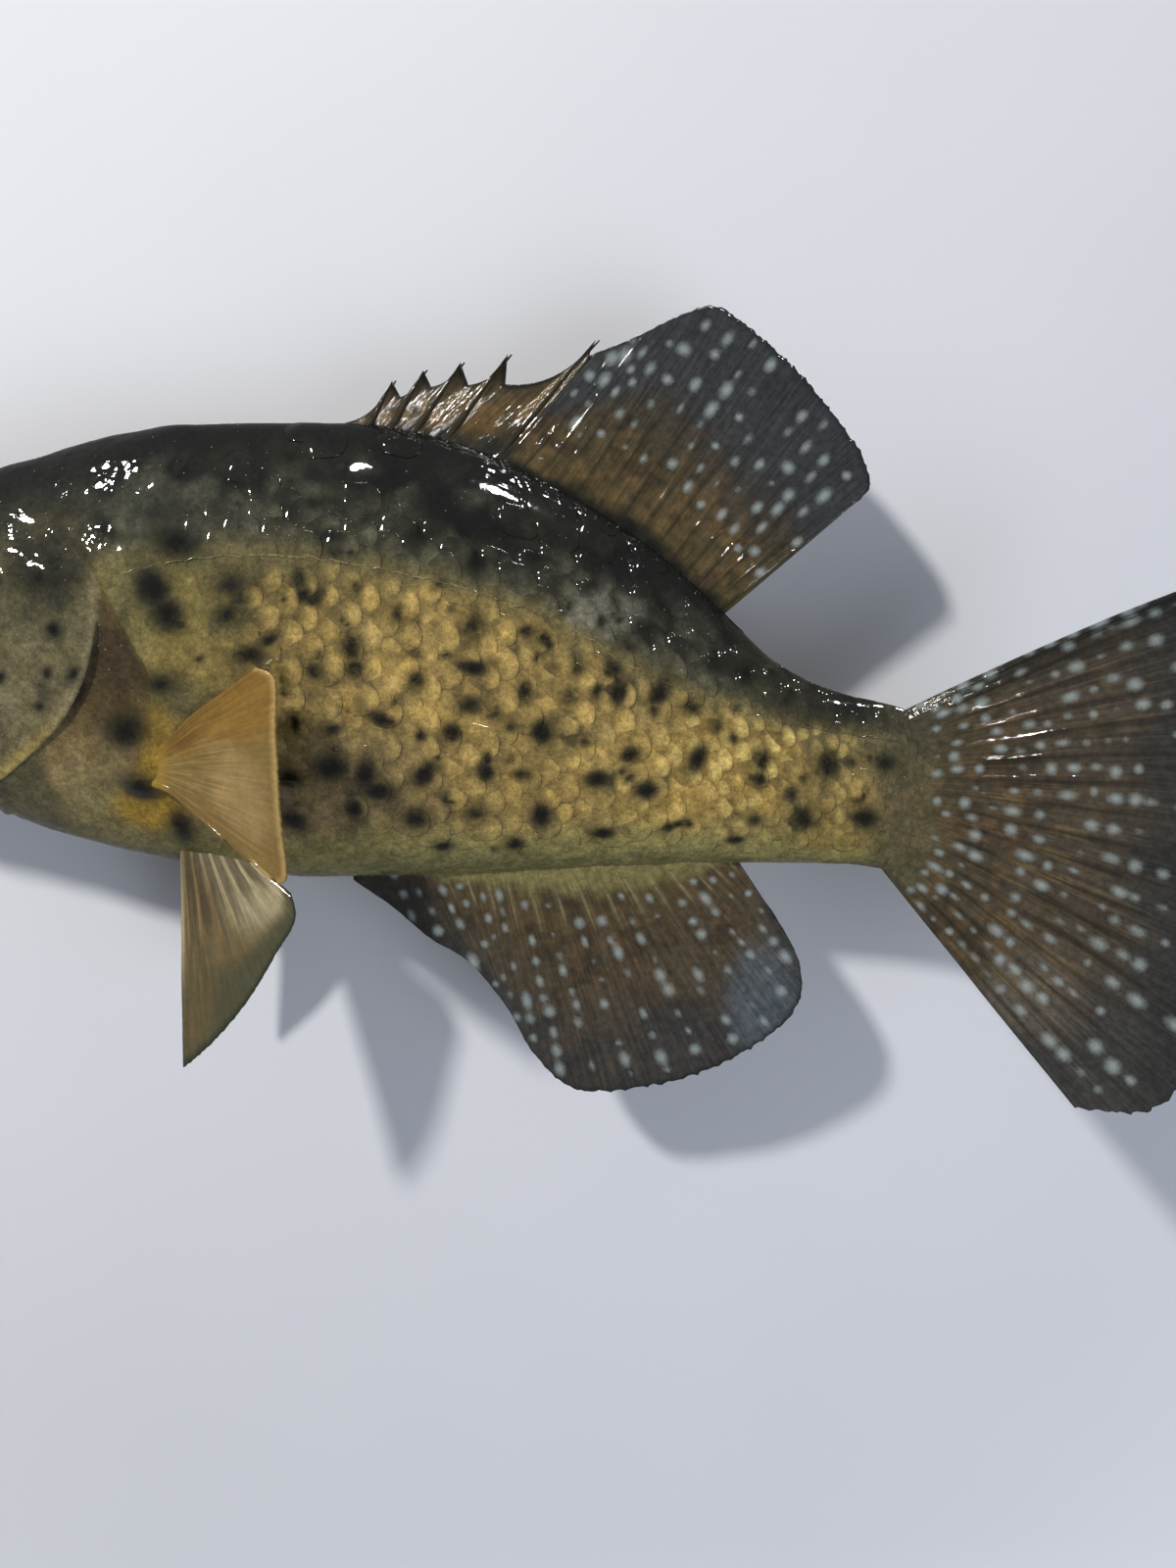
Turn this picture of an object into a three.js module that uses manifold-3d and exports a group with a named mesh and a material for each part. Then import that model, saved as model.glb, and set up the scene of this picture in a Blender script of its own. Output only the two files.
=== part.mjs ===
// Crappie (Pomoxis), a full skin mount that hangs on a wall, life size.
// Millimetres, +Z up. The origin is on the wall, at the flat back of the wooden block. The fish's left
// flank faces -Y, its head points to -X and its tail to +X.
// An outline is a list of [x, z] points in the fish's own plane; a third number is the height off the wall.
import * as THREE from 'three'
import { mergeVertices } from 'three/addons/utils/BufferGeometryUtils.js'
import Module from 'manifold-3d'

// ---- driving dimensions ----
const GAP = 0.3                 // clearance between neighbouring solids
const SNOUT_X = -184
const TAIL_BASE_X = 129
const MID_HEIGHT = 35           // the trunk's middle plane, off the wall
const REACH = 120               // how far a cutting prism runs from the wall, past both flanks

// The body, from snout to tail base: back and belly lines, half thickness and height of the middle plane.
const BACK = [[SNOUT_X, 6.5], [-182, 9.6], [-177, 13.6], [-168, 19], [-158, 23.8], [-147, 27.8], [-135, 32.4],
  [-125, 36.7], [-114, 41], [-101, 44.8], [-86, 49.1], [-70, 53.2], [-53, 55.4], [-34, 56], [-14, 56],
  [0, 54.2], [14, 50.4], [28, 44.3], [42, 36.9], [54, 29.1], [67, 19.2], [79, 7.4], [91, -3.2],
  [103, -8.9], [117, -12.2], [124, -15.5], [TAIL_BASE_X, -23]]
const BELLY = [[SNOUT_X, 3], [-181, -1.4], [-173, -9], [-161, -19], [-149, -26.2], [-138, -30.2], [-124, -34.4],
  [-109, -40.3], [-92, -46.6], [-72, -52.2], [-50, -56.4], [-30, -58.8], [-4, -58.4], [42, -56.4],
  [93, -54.4], [110, -54], [118, -54.6], [124, -52], [TAIL_BASE_X, -46.5]]
const HALF_THICKNESS = [[SNOUT_X, 1.4], [-181, 5.4], [-175, 8.8], [-165, 12.4], [-150, 16], [-135, 18.4],
  [-115, 20.8], [-95, 22.4], [-70, 22.9], [-40, 22.6], [-10, 21.6], [20, 19.4], [45, 16.4], [70, 12.8],
  [95, 9.3], [112, 7.2], [122, 5], [TAIL_BASE_X, 1.4]]
const MIDLINE = [[SNOUT_X, 38], [-140, 36.5], [-80, MID_HEIGHT], [20, MID_HEIGHT], [60, 36.6], [82, 38.4],
  [96, 40.6], [110, 43.9], [122, 47.6], [TAIL_BASE_X, 50.4]]
const WIDEST = 0.5              // where the flank is thickest, as a share of the depth from the belly
const BACK_RIDGE = 0.62         // over 0.5 the back's edge is sharper than an ellipse
const BELLY_RIDGE = 0.56
const SECTION_POWER = 2.1
const SECTION_SIDES = 24
const STATIONS = 34             // sections along the body, with fewer along its short lengths
const HEAD_STATIONS = 12
const HIDDEN = { stations: 9, sides: 12 }  // faces that no opening shows

// Cuts between the parts of the body.
const SHOULDER_CUT = [[-98, 66], [-93, 40], [-88, 16], [-90, -6], [-98, -26], [-112, -70]]
const STALK_CUT = [[84, 40], [80, 0], [79, -30], [84, -80]]
const GILL_COVER = [[-98, 33.5], [-89, 31.6], [-80, 27], [-74.3, 21], [-72.1, 13.5], [-73, 5.5],
  [-76.5, -5], [-83, -14.6], [-93, -23.6], [-103, -30.4], [-115, -35.8], [-127, -35.5],
  [-137, -30.5], [-123, -18], [-113.5, -3], [-109.5, 16], [-105, 30]]
const GILL_COVER_DEPTH = 3.6    // thickness let into the head
const GILL_COVER_LIFT = 2.6     // how far its rear edge stands off the shoulder
const UPPER_JAW = [[-187, 12.4], [-180, 10.6], [-172, 5], [-162, -2.5], [-153, -8.5], [-147, -13],
  [-144.5, -17.5], [-147, -21.5], [-152, -20.5], [-158, -15.5], [-166, -8.5], [-176, 0.5], [-187, 7]]
const LOWER_JAW = [[-192, 6.4], [-184, 4.6], [-176, -0.3], [-166, -9.3], [-158, -16.3], [-152, -21.4],
  [-146, -23], [-139, -42], [-192, -42]]
const UPPER_JAW_DEPTH = 3
const UPPER_JAW_LIFT = 0.9

const EYE = { x: -148, z: 13.6, radius: 10.4, depth: 5, offset: 10.9 }

// Fins, as pairs from root to rim along the fin: [x, z, height off the wall].
const FIN_ROOT_THICKNESS = 2
const FIN_RIM_THICKNESS = 0.9
const FIN_RIB = 0.3             // how much thicker a fin is along its rays, at the root
const DORSAL_SPINES = { height: MID_HEIGHT,
  roots: [[-14, 54], [-8.5, 54], [-3.3, 53], [3.8, 51], [15.7, 47]],
  tips: [[-5.3, 65.3], [2.3, 67.8], [11.3, 69.6], [22.7, 71.5], [43.9, 74.9]],
  notches: [[-3.4, 61.6], [4.1, 64], [13.1, 64.4], [22, 64.6], [42.4, 71.6]] }
const DORSAL_SOFT = { rays: 15,
  root: [[17.6, 45, 35], [33.6, 38, 35], [53, 26, 35], [66, 14, 36], [74.5, 8, 37]],
  rim: [[42.9, 71.6, 35], [53, 75.4, 35], [64, 80.6, 35], [72.5, 83, 35], [79.3, 79.2, 35.5], [87.1, 73.2, 36],
    [95.6, 65, 36.5], [103, 56.4, 37], [109.4, 47.5, 37.5], [111.2, 40.5, 38], [107.5, 36.4, 38]] }
const ANAL = { rays: 18,
  root: [[-21, -54, 35.5], [3.7, -54, 36], [28, -53, 36], [54, -52, 37], [79, -51, 38]],
  rim: [[-19, -59.5, 36], [-10, -66, 36], [0, -75, 36], [10, -81.5, 36], [20, -94, 36.5], [28, -108.5, 37],
    [38, -117.6, 37.5], [55, -117.6, 38], [72, -113, 39], [87.6, -104, 40], [97.4, -93, 41],
    [97.6, -81.5, 41], [89, -66, 40.5]] }
const TAIL = { rays: 17, rows: 3, bow: 3,
  root: [[118, -14.6, 46.5], [121, -24, 47.5], [122.5, -35.5, 48], [120.5, -46, 47.5], [116, -54.6, 46]],
  rim: [[171, 17.4, 77], [183, 18.8, 81], [189, 5, 83.5], [187, -18, 84], [183.4, -42, 83.5],
    [184.6, -68, 84], [182, -90, 83.5], [173.5, -103.4, 82], [158, -105.8, 76]] }
const PECTORAL = { rays: 11, rows: 3, bow: 1.5,
  root: [[-62, -21, 52], [-61.5, -24, 52], [-60.5, -27.5, 52], [-58.5, -31.5, 52]],
  rim: [[-33.3, -0.2, 68], [-28.9, -2.2, 70], [-28.6, -13, 73], [-28.1, -25, 75], [-27.7, -37, 76],
    [-27.6, -48.3, 77], [-35.5, -44.6, 72]] }
const PELVIC = { rays: 7,
  root: [[-61.5, -47, 42], [-57.5, -48.2, 41.5], [-52, -49.4, 41], [-46, -50.6, 40]],
  rim: [[-58.2, -100, 62], [-50.5, -93.4, 60.5], [-42.6, -84.2, 58], [-36.4, -74, 54.5],
    [-31.6, -65.6, 51.5], [-33, -59.6, 49]] }
// The fins on the wall side are the near ones mirrored, more folded and closer to the body.
const FAR_PECTORAL = { flare: 0.3, fold: 1, shift: 0 }
const FAR_PELVIC = { flare: 0.45, fold: 0.82, shift: -4 }

const BLOCK = { x0: -22, x1: 46, z0: -26, z1: 24, depth: 30, corner: 7, bevel: 1.5 }
const HANGER = { x: 12, z: 12, width: 34, height: 15, thickness: 1.8, head: 4.4, slot: 2, drop: 7 }

// ---- numbers and curves ----
// A smooth line through [x, value] knots that never overshoots them.
function line(knots) {
  const slopes = knots.slice(1).map(([x, v], i) => (v - knots[i][1]) / (x - knots[i][0]))
  const tangent = (i) => {
    const before = slopes[i - 1] ?? slopes[0]
    const after = slopes[i] ?? slopes.at(-1)
    return before * after <= 0 ? 0 : (2 * before * after) / (before + after)
  }
  return (x) => {
    const i = Math.max(0, Math.min(knots.length - 2, knots.findIndex((k) => k[0] > x) - 1))
    const at = x >= knots.at(-1)[0] ? knots.length - 2 : i
    const [x0, v0] = knots[at]
    const [x1, v1] = knots[at + 1]
    const span = x1 - x0
    const t = Math.max(0, Math.min(1, (x - x0) / span))
    const fall = (1 + 2 * t) * (1 - t) ** 2
    return v0 * fall + v1 * (1 - fall) + span * (tangent(at) * t * (1 - t) ** 2 - tangent(at + 1) * t * t * (1 - t))
  }
}

const back = line(BACK)
const belly = line(BELLY)
const halfThickness = line(HALF_THICKNESS)
const midline = line(MIDLINE)

// A curve through [x, z, height] points, in the model's own axes.
function curve(points) {
  return new THREE.CatmullRomCurve3(points.map(([x, z, h]) => new THREE.Vector3(x, -h, z)), false, 'centripetal')
}

// ---- closed solids ----
const wasm = await Module()
wasm.setup()

function toSolid(geometry) {
  const bare = geometry.clone()
  bare.deleteAttribute('normal')
  bare.deleteAttribute('uv')
  const merged = mergeVertices(bare, 1e-4)
  const vertProperties = new Float32Array(merged.attributes.position.array)
  const triVerts = new Uint32Array(merged.index.array)
  return new wasm.Manifold(new wasm.Mesh({ numProp: 3, vertProperties, triVerts }))
}

function toGeometry(solid) {
  const { vertProperties, triVerts } = solid.getMesh()
  const geometry = new THREE.BufferGeometry()
  geometry.setAttribute('position', new THREE.BufferAttribute(vertProperties, 3))
  geometry.setIndex(new THREE.BufferAttribute(triVerts, 1))
  return geometry
}

// Rings of points, each with as many as the next, closed at both ends by a fan, with its faces outwards.
function loft(rings) {
  const sides = rings[0].length
  const positions = []
  const index = []
  for (const ring of rings) for (const p of ring) positions.push(p.x, p.y, p.z)
  const centres = [rings[0], rings.at(-1)].map((ring) => {
    const centre = ring.reduce((sum, p) => sum.add(p), new THREE.Vector3()).divideScalar(sides)
    positions.push(centre.x, centre.y, centre.z)
    return positions.length / 3 - 1
  })
  const last = (rings.length - 1) * sides
  for (let k = 0; k < sides; k++) {
    const next = (k + 1) % sides
    index.push(centres[0], next, k, centres[1], last + k, last + next)
    for (let row = 0; row < last; row += sides) {
      index.push(row + k, row + next, row + sides + next, row + k, row + sides + next, row + sides + k)
    }
  }
  const geometry = new THREE.BufferGeometry()
  geometry.setAttribute('position', new THREE.Float32BufferAttribute(positions, 3))
  geometry.setIndex(index)
  const solid = toSolid(geometry)
  if (solid.volume() > 0) return solid
  geometry.setIndex(index.reverse())
  return toSolid(geometry)
}

// One section of the body, grown all round, with some more thickness at the flanks.
function section(x, grow, widen, sides) {
  const top = back(x) + grow
  const bottom = belly(x) - grow
  const middle = bottom + WIDEST * (top - bottom)
  const half = Math.max(0.4, halfThickness(x) + grow + widen)
  return Array.from({ length: sides }, (_, k) => {
    const angle = (2 * Math.PI * k) / sides
    const rise = Math.sin(angle)
    const share = (1 - Math.abs(rise) ** SECTION_POWER) ** (rise > 0 ? BACK_RIDGE : BELLY_RIDGE)
    const z = middle + rise * (rise > 0 ? top - middle : middle - bottom)
    return new THREE.Vector3(x, -midline(x) - Math.sign(Math.cos(angle)) * half * share, z)
  })
}

// The whole body between two stations. Stations are closer together at the snout.
function body({ from = SNOUT_X, to = TAIL_BASE_X, grow = 0, widen = () => 0, stations = STATIONS,
  sides = SECTION_SIDES } = {}) {
  const rings = Array.from({ length: stations + 1 }, (_, i) => {
    const share = i / stations
    const x = from + (to - from) * (0.55 * share + 0.45 * share * share)
    return section(x, grow, widen(x), sides)
  })
  const start = grow > 0 ? -grow : 0
  rings[0].forEach((p) => { p.x += start })
  rings.at(-1).forEach((p) => { p.x -= start })
  return loft(rings)
}

// An outline in the fish's plane, straight or smoothed, run from one height off the wall to another.
function prism(points, from = -5, to = REACH, smooth = true) {
  let flat = points.map(([x, z]) => new THREE.Vector3(x, z, 0))
  if (smooth) flat = new THREE.CatmullRomCurve3(flat, true, 'centripetal').getPoints(points.length * 2).slice(1)
  const shape = new THREE.Shape(flat.map((p) => new THREE.Vector2(p.x, p.y)))
  const geometry = new THREE.ExtrudeGeometry(shape, { depth: to - from, bevelEnabled: false })
  geometry.rotateX(Math.PI / 2)
  geometry.translate(0, -from, 0)
  return toSolid(geometry)
}

// The outline with each point moved outwards.
function outset(points, distance) {
  const turn = THREE.ShapeUtils.area(points.map(([x, z]) => new THREE.Vector2(x, z))) > 0 ? 1 : -1
  return points.map(([x, z], i) => {
    const before = points[(i + points.length - 1) % points.length]
    const after = points[(i + 1) % points.length]
    const along = new THREE.Vector2(after[0] - before[0], after[1] - before[1]).normalize()
    return [x + turn * along.y * distance, z - turn * along.x * distance]
  })
}

// Everything on one side of an open line, out to x = end; the line can be moved along x first.
function beside(points, end, shift = 0) {
  const moved = points.map(([x, z]) => [x + shift, z])
  return prism([...moved, [end, points.at(-1)[1]], [end, points[0][1]]], -5, REACH, false)
}

// ---- head ----
const gillLift = (x) => GILL_COVER_LIFT * THREE.MathUtils.smoothstep(x, -134, -74)
const wholeBody = body()
const clearBody = body({ grow: GAP })

function gillCover(side) {
  const near = [MID_HEIGHT + 2, REACH]
  const far = [-5, MID_HEIGHT - 0.5]
  const [from, to] = side === 'left' ? near : far
  const outer = body({ from: -150, to: -60, widen: gillLift, stations: HEAD_STATIONS })
  const inner = body({ from: -150, to: -60, grow: -GILL_COVER_DEPTH, ...HIDDEN })
  return outer.intersect(prism(GILL_COVER, from, to)).subtract(inner)
}

function gillPocket() {
  const inner = body({ from: -150, to: -60, grow: -GILL_COVER_DEPTH - GAP, ...HIDDEN })
  return prism(outset(GILL_COVER, GAP)).subtract(inner)
}

const jawRing = (grow, points) => {
  const inner = body({ from: -176, to: -130, grow: -UPPER_JAW_DEPTH - grow, ...HIDDEN })
  return prism(points).subtract(inner)
}

function upperJaw() {
  const outer = body({ from: SNOUT_X, to: -130, widen: () => UPPER_JAW_LIFT, stations: HEAD_STATIONS })
  return outer.intersect(jawRing(0, UPPER_JAW))
}

function lowerJaw() {
  return wholeBody.intersect(prism(LOWER_JAW, -5, REACH, false))
    .subtract(jawRing(GAP, outset(UPPER_JAW, GAP)))
}

function eyeBall(side, grow = 0) {
  const ball = new THREE.SphereGeometry(1, 16, 8)
  ball.rotateX(Math.PI / 2)
  ball.scale(EYE.radius + grow, EYE.depth + grow, EYE.radius + grow)
  const sign = side === 'left' ? -1 : 1
  ball.translate(EYE.x, -midline(EYE.x) + sign * EYE.offset, EYE.z)
  return toSolid(ball)
}

function head() {
  return wholeBody.intersect(beside(SHOULDER_CUT, -200))
    .subtract(gillPocket())
    .subtract(prism(outset(LOWER_JAW, GAP), -5, REACH, false))
    .subtract(jawRing(GAP, outset(UPPER_JAW, GAP)))
    .subtract(eyeBall('left', GAP))
    .subtract(eyeBall('right', GAP))
}

// ---- trunk and tail stalk ----
function trunk() {
  return wholeBody.subtract(beside(SHOULDER_CUT, -200, GAP)).subtract(beside(STALK_CUT, 200))
    .subtract(gillPocket())
}

function tailStalk() {
  return wholeBody.intersect(beside(STALK_CUT, 200, GAP))
}

// ---- fins ----
// A closed sheet between a root and a rim, thinner towards the rim, ribbed by its rays.
function finSheet({ rays, root, rim, rows = 2, bow = 0 }) {
  const rootCurve = curve(root)
  const rimCurve = curve(rim)
  const rings = []
  for (let i = 0; i <= 2 * rays; i++) {
    const u = i / (2 * rays)
    const low = rootCurve.getPoint(u)
    const high = rimCurve.getPointAt(u)
    const rib = i % 2 === 0 ? FIN_RIB : -FIN_RIB
    const near = []
    const far = []
    for (let j = 0; j <= rows; j++) {
      const v = j / rows
      const half = (THREE.MathUtils.lerp(FIN_ROOT_THICKNESS, FIN_RIM_THICKNESS, v) + rib * (1 - v)) / 2
      const p = low.clone().lerp(high, v)
      p.y += 4 * bow * v * (1 - v)
      near.push(new THREE.Vector3(p.x, p.y - half, p.z))
      far.unshift(new THREE.Vector3(p.x, p.y + half, p.z))
    }
    rings.push([...near, ...far])
  }
  return loft(rings)
}

// The spiny dorsal: one web whose edge drops behind each spine.
function spinyDorsal() {
  const { roots, tips, notches, height } = DORSAL_SPINES
  const edge = [[-17, 55], ...tips.flatMap((tip, i) => [tip, notches[i]])]
  const outline = [...edge, [17.1, 45], [14, 40], [-18, 48]]
  const web = prism(outline, height - 0.6, height + 0.6, false)
  return roots.reduce((solid, root, i) => solid.add(spine(root, tips[i], height)), web)
}

// One fin spine: a slim cone from its root to its tip.
function spine(root, tip, height) {
  const from = new THREE.Vector3(root[0], -height, root[1])
  const to = new THREE.Vector3(tip[0], -height, tip[1])
  const cone = new THREE.CylinderGeometry(0.35, 1.1, from.distanceTo(to), 6)
  const turn = new THREE.Quaternion()
  turn.setFromUnitVectors(new THREE.Vector3(0, 1, 0), to.clone().sub(from).normalize())
  cone.applyQuaternion(turn)
  const middle = from.lerp(to, 0.5)
  cone.translate(middle.x, middle.y, middle.z)
  return toSolid(cone)
}

function farSide(fin, { flare, fold, shift }) {
  const [x0, , h0] = fin.root[0]
  const move = ([x, z, h]) => [x0 + shift + fold * (x - x0), z, 2 * MID_HEIGHT - h0 - flare * (h - h0)]
  return { ...fin, bow: -fin.bow || 0, root: fin.root.map(move), rim: fin.rim.map(move) }
}

const rooted = (fin) => fin.subtract(clearBody)

// ---- wall block and hanger ----
function backBlock() {
  const { x0, x1, z0, z1, depth, corner, bevel } = BLOCK
  const shape = new THREE.Shape()
  const [w, h] = [x1 - x0 - 2 * bevel, z1 - z0 - 2 * bevel]
  shape.moveTo(corner, 0).lineTo(w - corner, 0).quadraticCurveTo(w, 0, w, corner)
  shape.lineTo(w, h - corner).quadraticCurveTo(w, h, w - corner, h)
  shape.lineTo(corner, h).quadraticCurveTo(0, h, 0, h - corner)
  shape.lineTo(0, corner).quadraticCurveTo(0, 0, corner, 0)
  const block = new THREE.ExtrudeGeometry(shape, { depth: depth - bevel, bevelThickness: bevel,
    bevelSize: bevel, bevelSegments: 1, curveSegments: 3 })
  block.rotateX(Math.PI / 2)
  block.translate(x0 + bevel, -bevel, z0 + bevel)
  const recess = plate(HANGER.thickness + GAP, GAP)
  const screwRoom = keyhole(HANGER.thickness + 6, 1)
  return toSolid(block).subtract(clearBody).subtract(recess).subtract(screwRoom)
}

function plate(thickness, grow) {
  const { x, z, width, height } = HANGER
  const box = new THREE.BoxGeometry(width + 2 * grow, 2 * thickness, height + 2 * grow)
  box.translate(x, 0, z)
  return toSolid(box)
}

// The keyhole that a screw head enters at the bottom and slides up in.
function keyhole(depth, grow) {
  const { x, z, head: round, slot, drop } = HANGER
  const entry = new THREE.CylinderGeometry(round + grow, round + grow, 2 * depth, 20)
  entry.translate(x, 0, z - drop / 2)
  const channel = new THREE.BoxGeometry(2 * (slot + grow), 2 * depth, drop)
  channel.translate(x, 0, z)
  const end = new THREE.CylinderGeometry(slot + grow, slot + grow, 2 * depth, 16)
  end.translate(x, 0, z + drop / 2)
  return toSolid(entry).add(toSolid(channel)).add(toSolid(end))
}

function hangerPlate() {
  const front = new THREE.BoxGeometry(80, 40, 60)
  front.translate(HANGER.x, -20, HANGER.z)
  return plate(HANGER.thickness, 0).intersect(toSolid(front)).subtract(keyhole(10, 0))
}

// ---- the finished fish ----
const finishes = {
  back: { color: '#35372c', roughness: 0.25, metalness: 0 },
  flank: { color: '#a08a4a', roughness: 0.25, metalness: 0 },
  cheek: { color: '#76735a', roughness: 0.25, metalness: 0 },
  darkFin: { color: '#3a372d', roughness: 0.3, metalness: 0 },
  goldFin: { color: '#a98f4d', roughness: 0.3, metalness: 0 },
  eye: { color: '#1a1a18', roughness: 0.05, metalness: 0 },
  wood: { color: '#9a7448', roughness: 0.8, metalness: 0 },
  steel: { color: '#9a9c9e', roughness: 0.4, metalness: 1 },
}

const fish = new THREE.Group()

function addPart(name, solid, finish) {
  const mesh = new THREE.Mesh(toGeometry(solid), new THREE.MeshStandardMaterial(finishes[finish]))
  mesh.name = name
  fish.add(mesh)
}

addPart('head', head(), 'back')
addPart('upper_jaw', upperJaw(), 'cheek')
addPart('lower_jaw', lowerJaw(), 'cheek')
for (const side of ['left', 'right']) {
  addPart(`gill_cover_${side}`, gillCover(side), 'cheek')
  addPart(`eye_${side}`, eyeBall(side), 'eye')
}
addPart('trunk', trunk(), 'flank')
addPart('tail_stalk', tailStalk(), 'flank')
addPart('dorsal_fin_spiny', rooted(spinyDorsal()), 'darkFin')
addPart('dorsal_fin_soft', rooted(finSheet(DORSAL_SOFT)), 'darkFin')
addPart('anal_fin', rooted(finSheet(ANAL)), 'darkFin')
addPart('tail_fin', rooted(finSheet(TAIL)), 'darkFin')
addPart('pectoral_fin_left', rooted(finSheet(PECTORAL)), 'goldFin')
addPart('pectoral_fin_right', rooted(finSheet(farSide(PECTORAL, FAR_PECTORAL))), 'goldFin')
addPart('pelvic_fin_left', rooted(finSheet(PELVIC)), 'goldFin')
addPart('pelvic_fin_right', rooted(finSheet(farSide(PELVIC, FAR_PELVIC))), 'goldFin')
addPart('back_block', backBlock(), 'wood')
addPart('hanger_plate', hangerPlate(), 'steel')

export default fish
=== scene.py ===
# A mounted crappie: painted and lacquered skin, overlapping scales, ribbed fins and glass eyes, on a
# small wooden block with a steel keyhole plate. Tables are in millimetres, and meshes in metres.
import math
from functools import partial

import bpy
import numpy as np
from bpy.props import FloatProperty, FloatVectorProperty, IntProperty, PointerProperty
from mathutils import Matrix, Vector


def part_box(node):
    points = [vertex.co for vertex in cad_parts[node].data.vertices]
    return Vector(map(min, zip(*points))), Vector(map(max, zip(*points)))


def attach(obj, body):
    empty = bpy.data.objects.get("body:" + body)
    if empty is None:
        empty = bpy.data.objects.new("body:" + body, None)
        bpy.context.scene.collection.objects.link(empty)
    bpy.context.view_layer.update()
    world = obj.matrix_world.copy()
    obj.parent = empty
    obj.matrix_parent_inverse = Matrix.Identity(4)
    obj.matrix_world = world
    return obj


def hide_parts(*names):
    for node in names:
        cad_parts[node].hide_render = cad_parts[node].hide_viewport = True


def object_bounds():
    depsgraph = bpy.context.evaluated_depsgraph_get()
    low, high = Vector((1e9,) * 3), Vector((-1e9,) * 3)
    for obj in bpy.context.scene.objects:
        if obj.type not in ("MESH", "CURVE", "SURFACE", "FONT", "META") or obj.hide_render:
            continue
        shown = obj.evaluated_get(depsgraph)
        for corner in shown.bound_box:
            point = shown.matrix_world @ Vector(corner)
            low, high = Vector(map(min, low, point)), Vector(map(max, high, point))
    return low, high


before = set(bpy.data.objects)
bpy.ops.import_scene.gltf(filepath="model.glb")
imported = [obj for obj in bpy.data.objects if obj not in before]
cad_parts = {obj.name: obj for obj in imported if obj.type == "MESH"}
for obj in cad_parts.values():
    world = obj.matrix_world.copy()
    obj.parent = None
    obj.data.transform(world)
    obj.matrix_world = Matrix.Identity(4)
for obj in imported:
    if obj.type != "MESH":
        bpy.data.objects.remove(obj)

bl_info = {
    "name": "Mounted crappie",
    "version": (1, 0, 0),
    "blender": (4, 5, 0),
    "location": "View3D > Sidebar > Crappie",
    "description": "Builds the skin, scales, fins, eyes and mount of a lacquered trophy crappie",
    "category": "Object",
}

MM = 0.001
CAD_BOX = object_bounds()
SNOUT_X = round(CAD_BOX[0].x / MM, 3)
TAIL_BASE_X = round(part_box("tail_stalk")[1].x / MM, 3)
LEFT, RIGHT = -1, 1               # the left flank faces -Y, the right one the wall

# ---- the body's form ----
# The back and belly lines, half thickness and height of the middle plane off the wall, along the body.
BACK = ((SNOUT_X, 6.5), (-182, 9.6), (-177, 13.6), (-168, 19), (-158, 23.8), (-147, 27.8), (-135, 32.4),
        (-125, 36.7), (-114, 41), (-101, 44.8), (-86, 49.1), (-70, 53.2), (-53, 55.4), (-34, 56), (-14, 56),
        (0, 54.2), (14, 50.4), (28, 44.3), (42, 36.9), (54, 29.1), (67, 19.2), (79, 7.4), (91, -3.2),
        (103, -8.9), (117, -12.2), (124, -15.5), (TAIL_BASE_X, -23))
BELLY = ((SNOUT_X, 3), (-181, -1.4), (-173, -9), (-161, -19), (-149, -26.2), (-138, -30.2), (-124, -34.4),
         (-109, -40.3), (-92, -46.6), (-72, -52.2), (-50, -56.4), (-30, -58.8), (-4, -58.4), (42, -56.4),
         (93, -54.4), (110, -54), (118, -54.6), (124, -52), (TAIL_BASE_X, -46.5))
HALF_THICKNESS = ((SNOUT_X, 1.4), (-181, 5.4), (-175, 8.8), (-165, 12.4), (-150, 16), (-135, 18.4),
                  (-115, 20.8), (-95, 22.4), (-70, 22.9), (-40, 22.6), (-10, 21.6), (20, 19.4), (45, 16.4),
                  (70, 12.8), (95, 9.3), (112, 6.6), (120, 4.6), (TAIL_BASE_X, 1.6))
MIDLINE = ((SNOUT_X, 38), (-140, 36.5), (-80, 35), (20, 35), (60, 36.6), (82, 38.4), (96, 40.6),
           (110, 43.9), (122, 47.6), (TAIL_BASE_X, 50.4))
BACK_RIDGE, BELLY_RIDGE, SECTION_POWER = 0.62, 0.56, 2.1
STEP = 0.5                        # spacing of the body's look-up table
FRONT_END = -28                   # where the head's and shoulder's colours have faded out

# ---- lines drawn on the flank, as (x, z) ----
LATERAL_LINE = ((-74, 17), (-66, 20), (-53.5, 22.9), (-39.6, 24.2), (-25.9, 24), (-12.5, 22.2), (0.9, 19.5),
                (14.3, 16.1), (27.9, 11.4), (41.7, 4.9), (50.9, -1.6), (65.1, -7.8), (89, -16.1),
                (120.7, -21.3))
COVER_EDGE = ((-142, 33), (-126, 34), (-112, 34.6), (-98, 33.5), (-89, 31.6), (-80, 27), (-74.3, 21),
              (-72.1, 13.5), (-73, 5.5), (-76.5, -5), (-83, -14.6), (-93, -23.6), (-103, -30.4),
              (-115, -35.2), (-127, -36.3), (-140, -35), (-152, -31))
CHEEK_RIDGE = ((-114, 30), (-117.5, 17), (-120, 4), (-124.5, -9), (-132, -18.5), (-143, -24.5))
LOWER_COVER_SEAM = ((-75, -3), (-86, -10), (-100, -17.5), (-113, -23), (-124, -27))
MOUTH = ((-190, 8.5), (-184, 5.6), (-176, -0.3), (-166, -9.3), (-158, -16.3), (-152, -21), (-146.5, -22.5))
LIP_PLATE = ((-190, 14.6), (-180, 10.6), (-172, 5), (-162, -2.5), (-153, -8.5), (-147, -13),
             (-144.5, -17.5), (-146.5, -22.5))
SHOULDER_EDGE = ((-92, 37), (-83, 31), (-75, 24.5), (-69.5, 14), (-65, 4.5), (-61, -4), (-60, -13),
                 (-63, -22), (-70, -31), (-80, -38))
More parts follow.
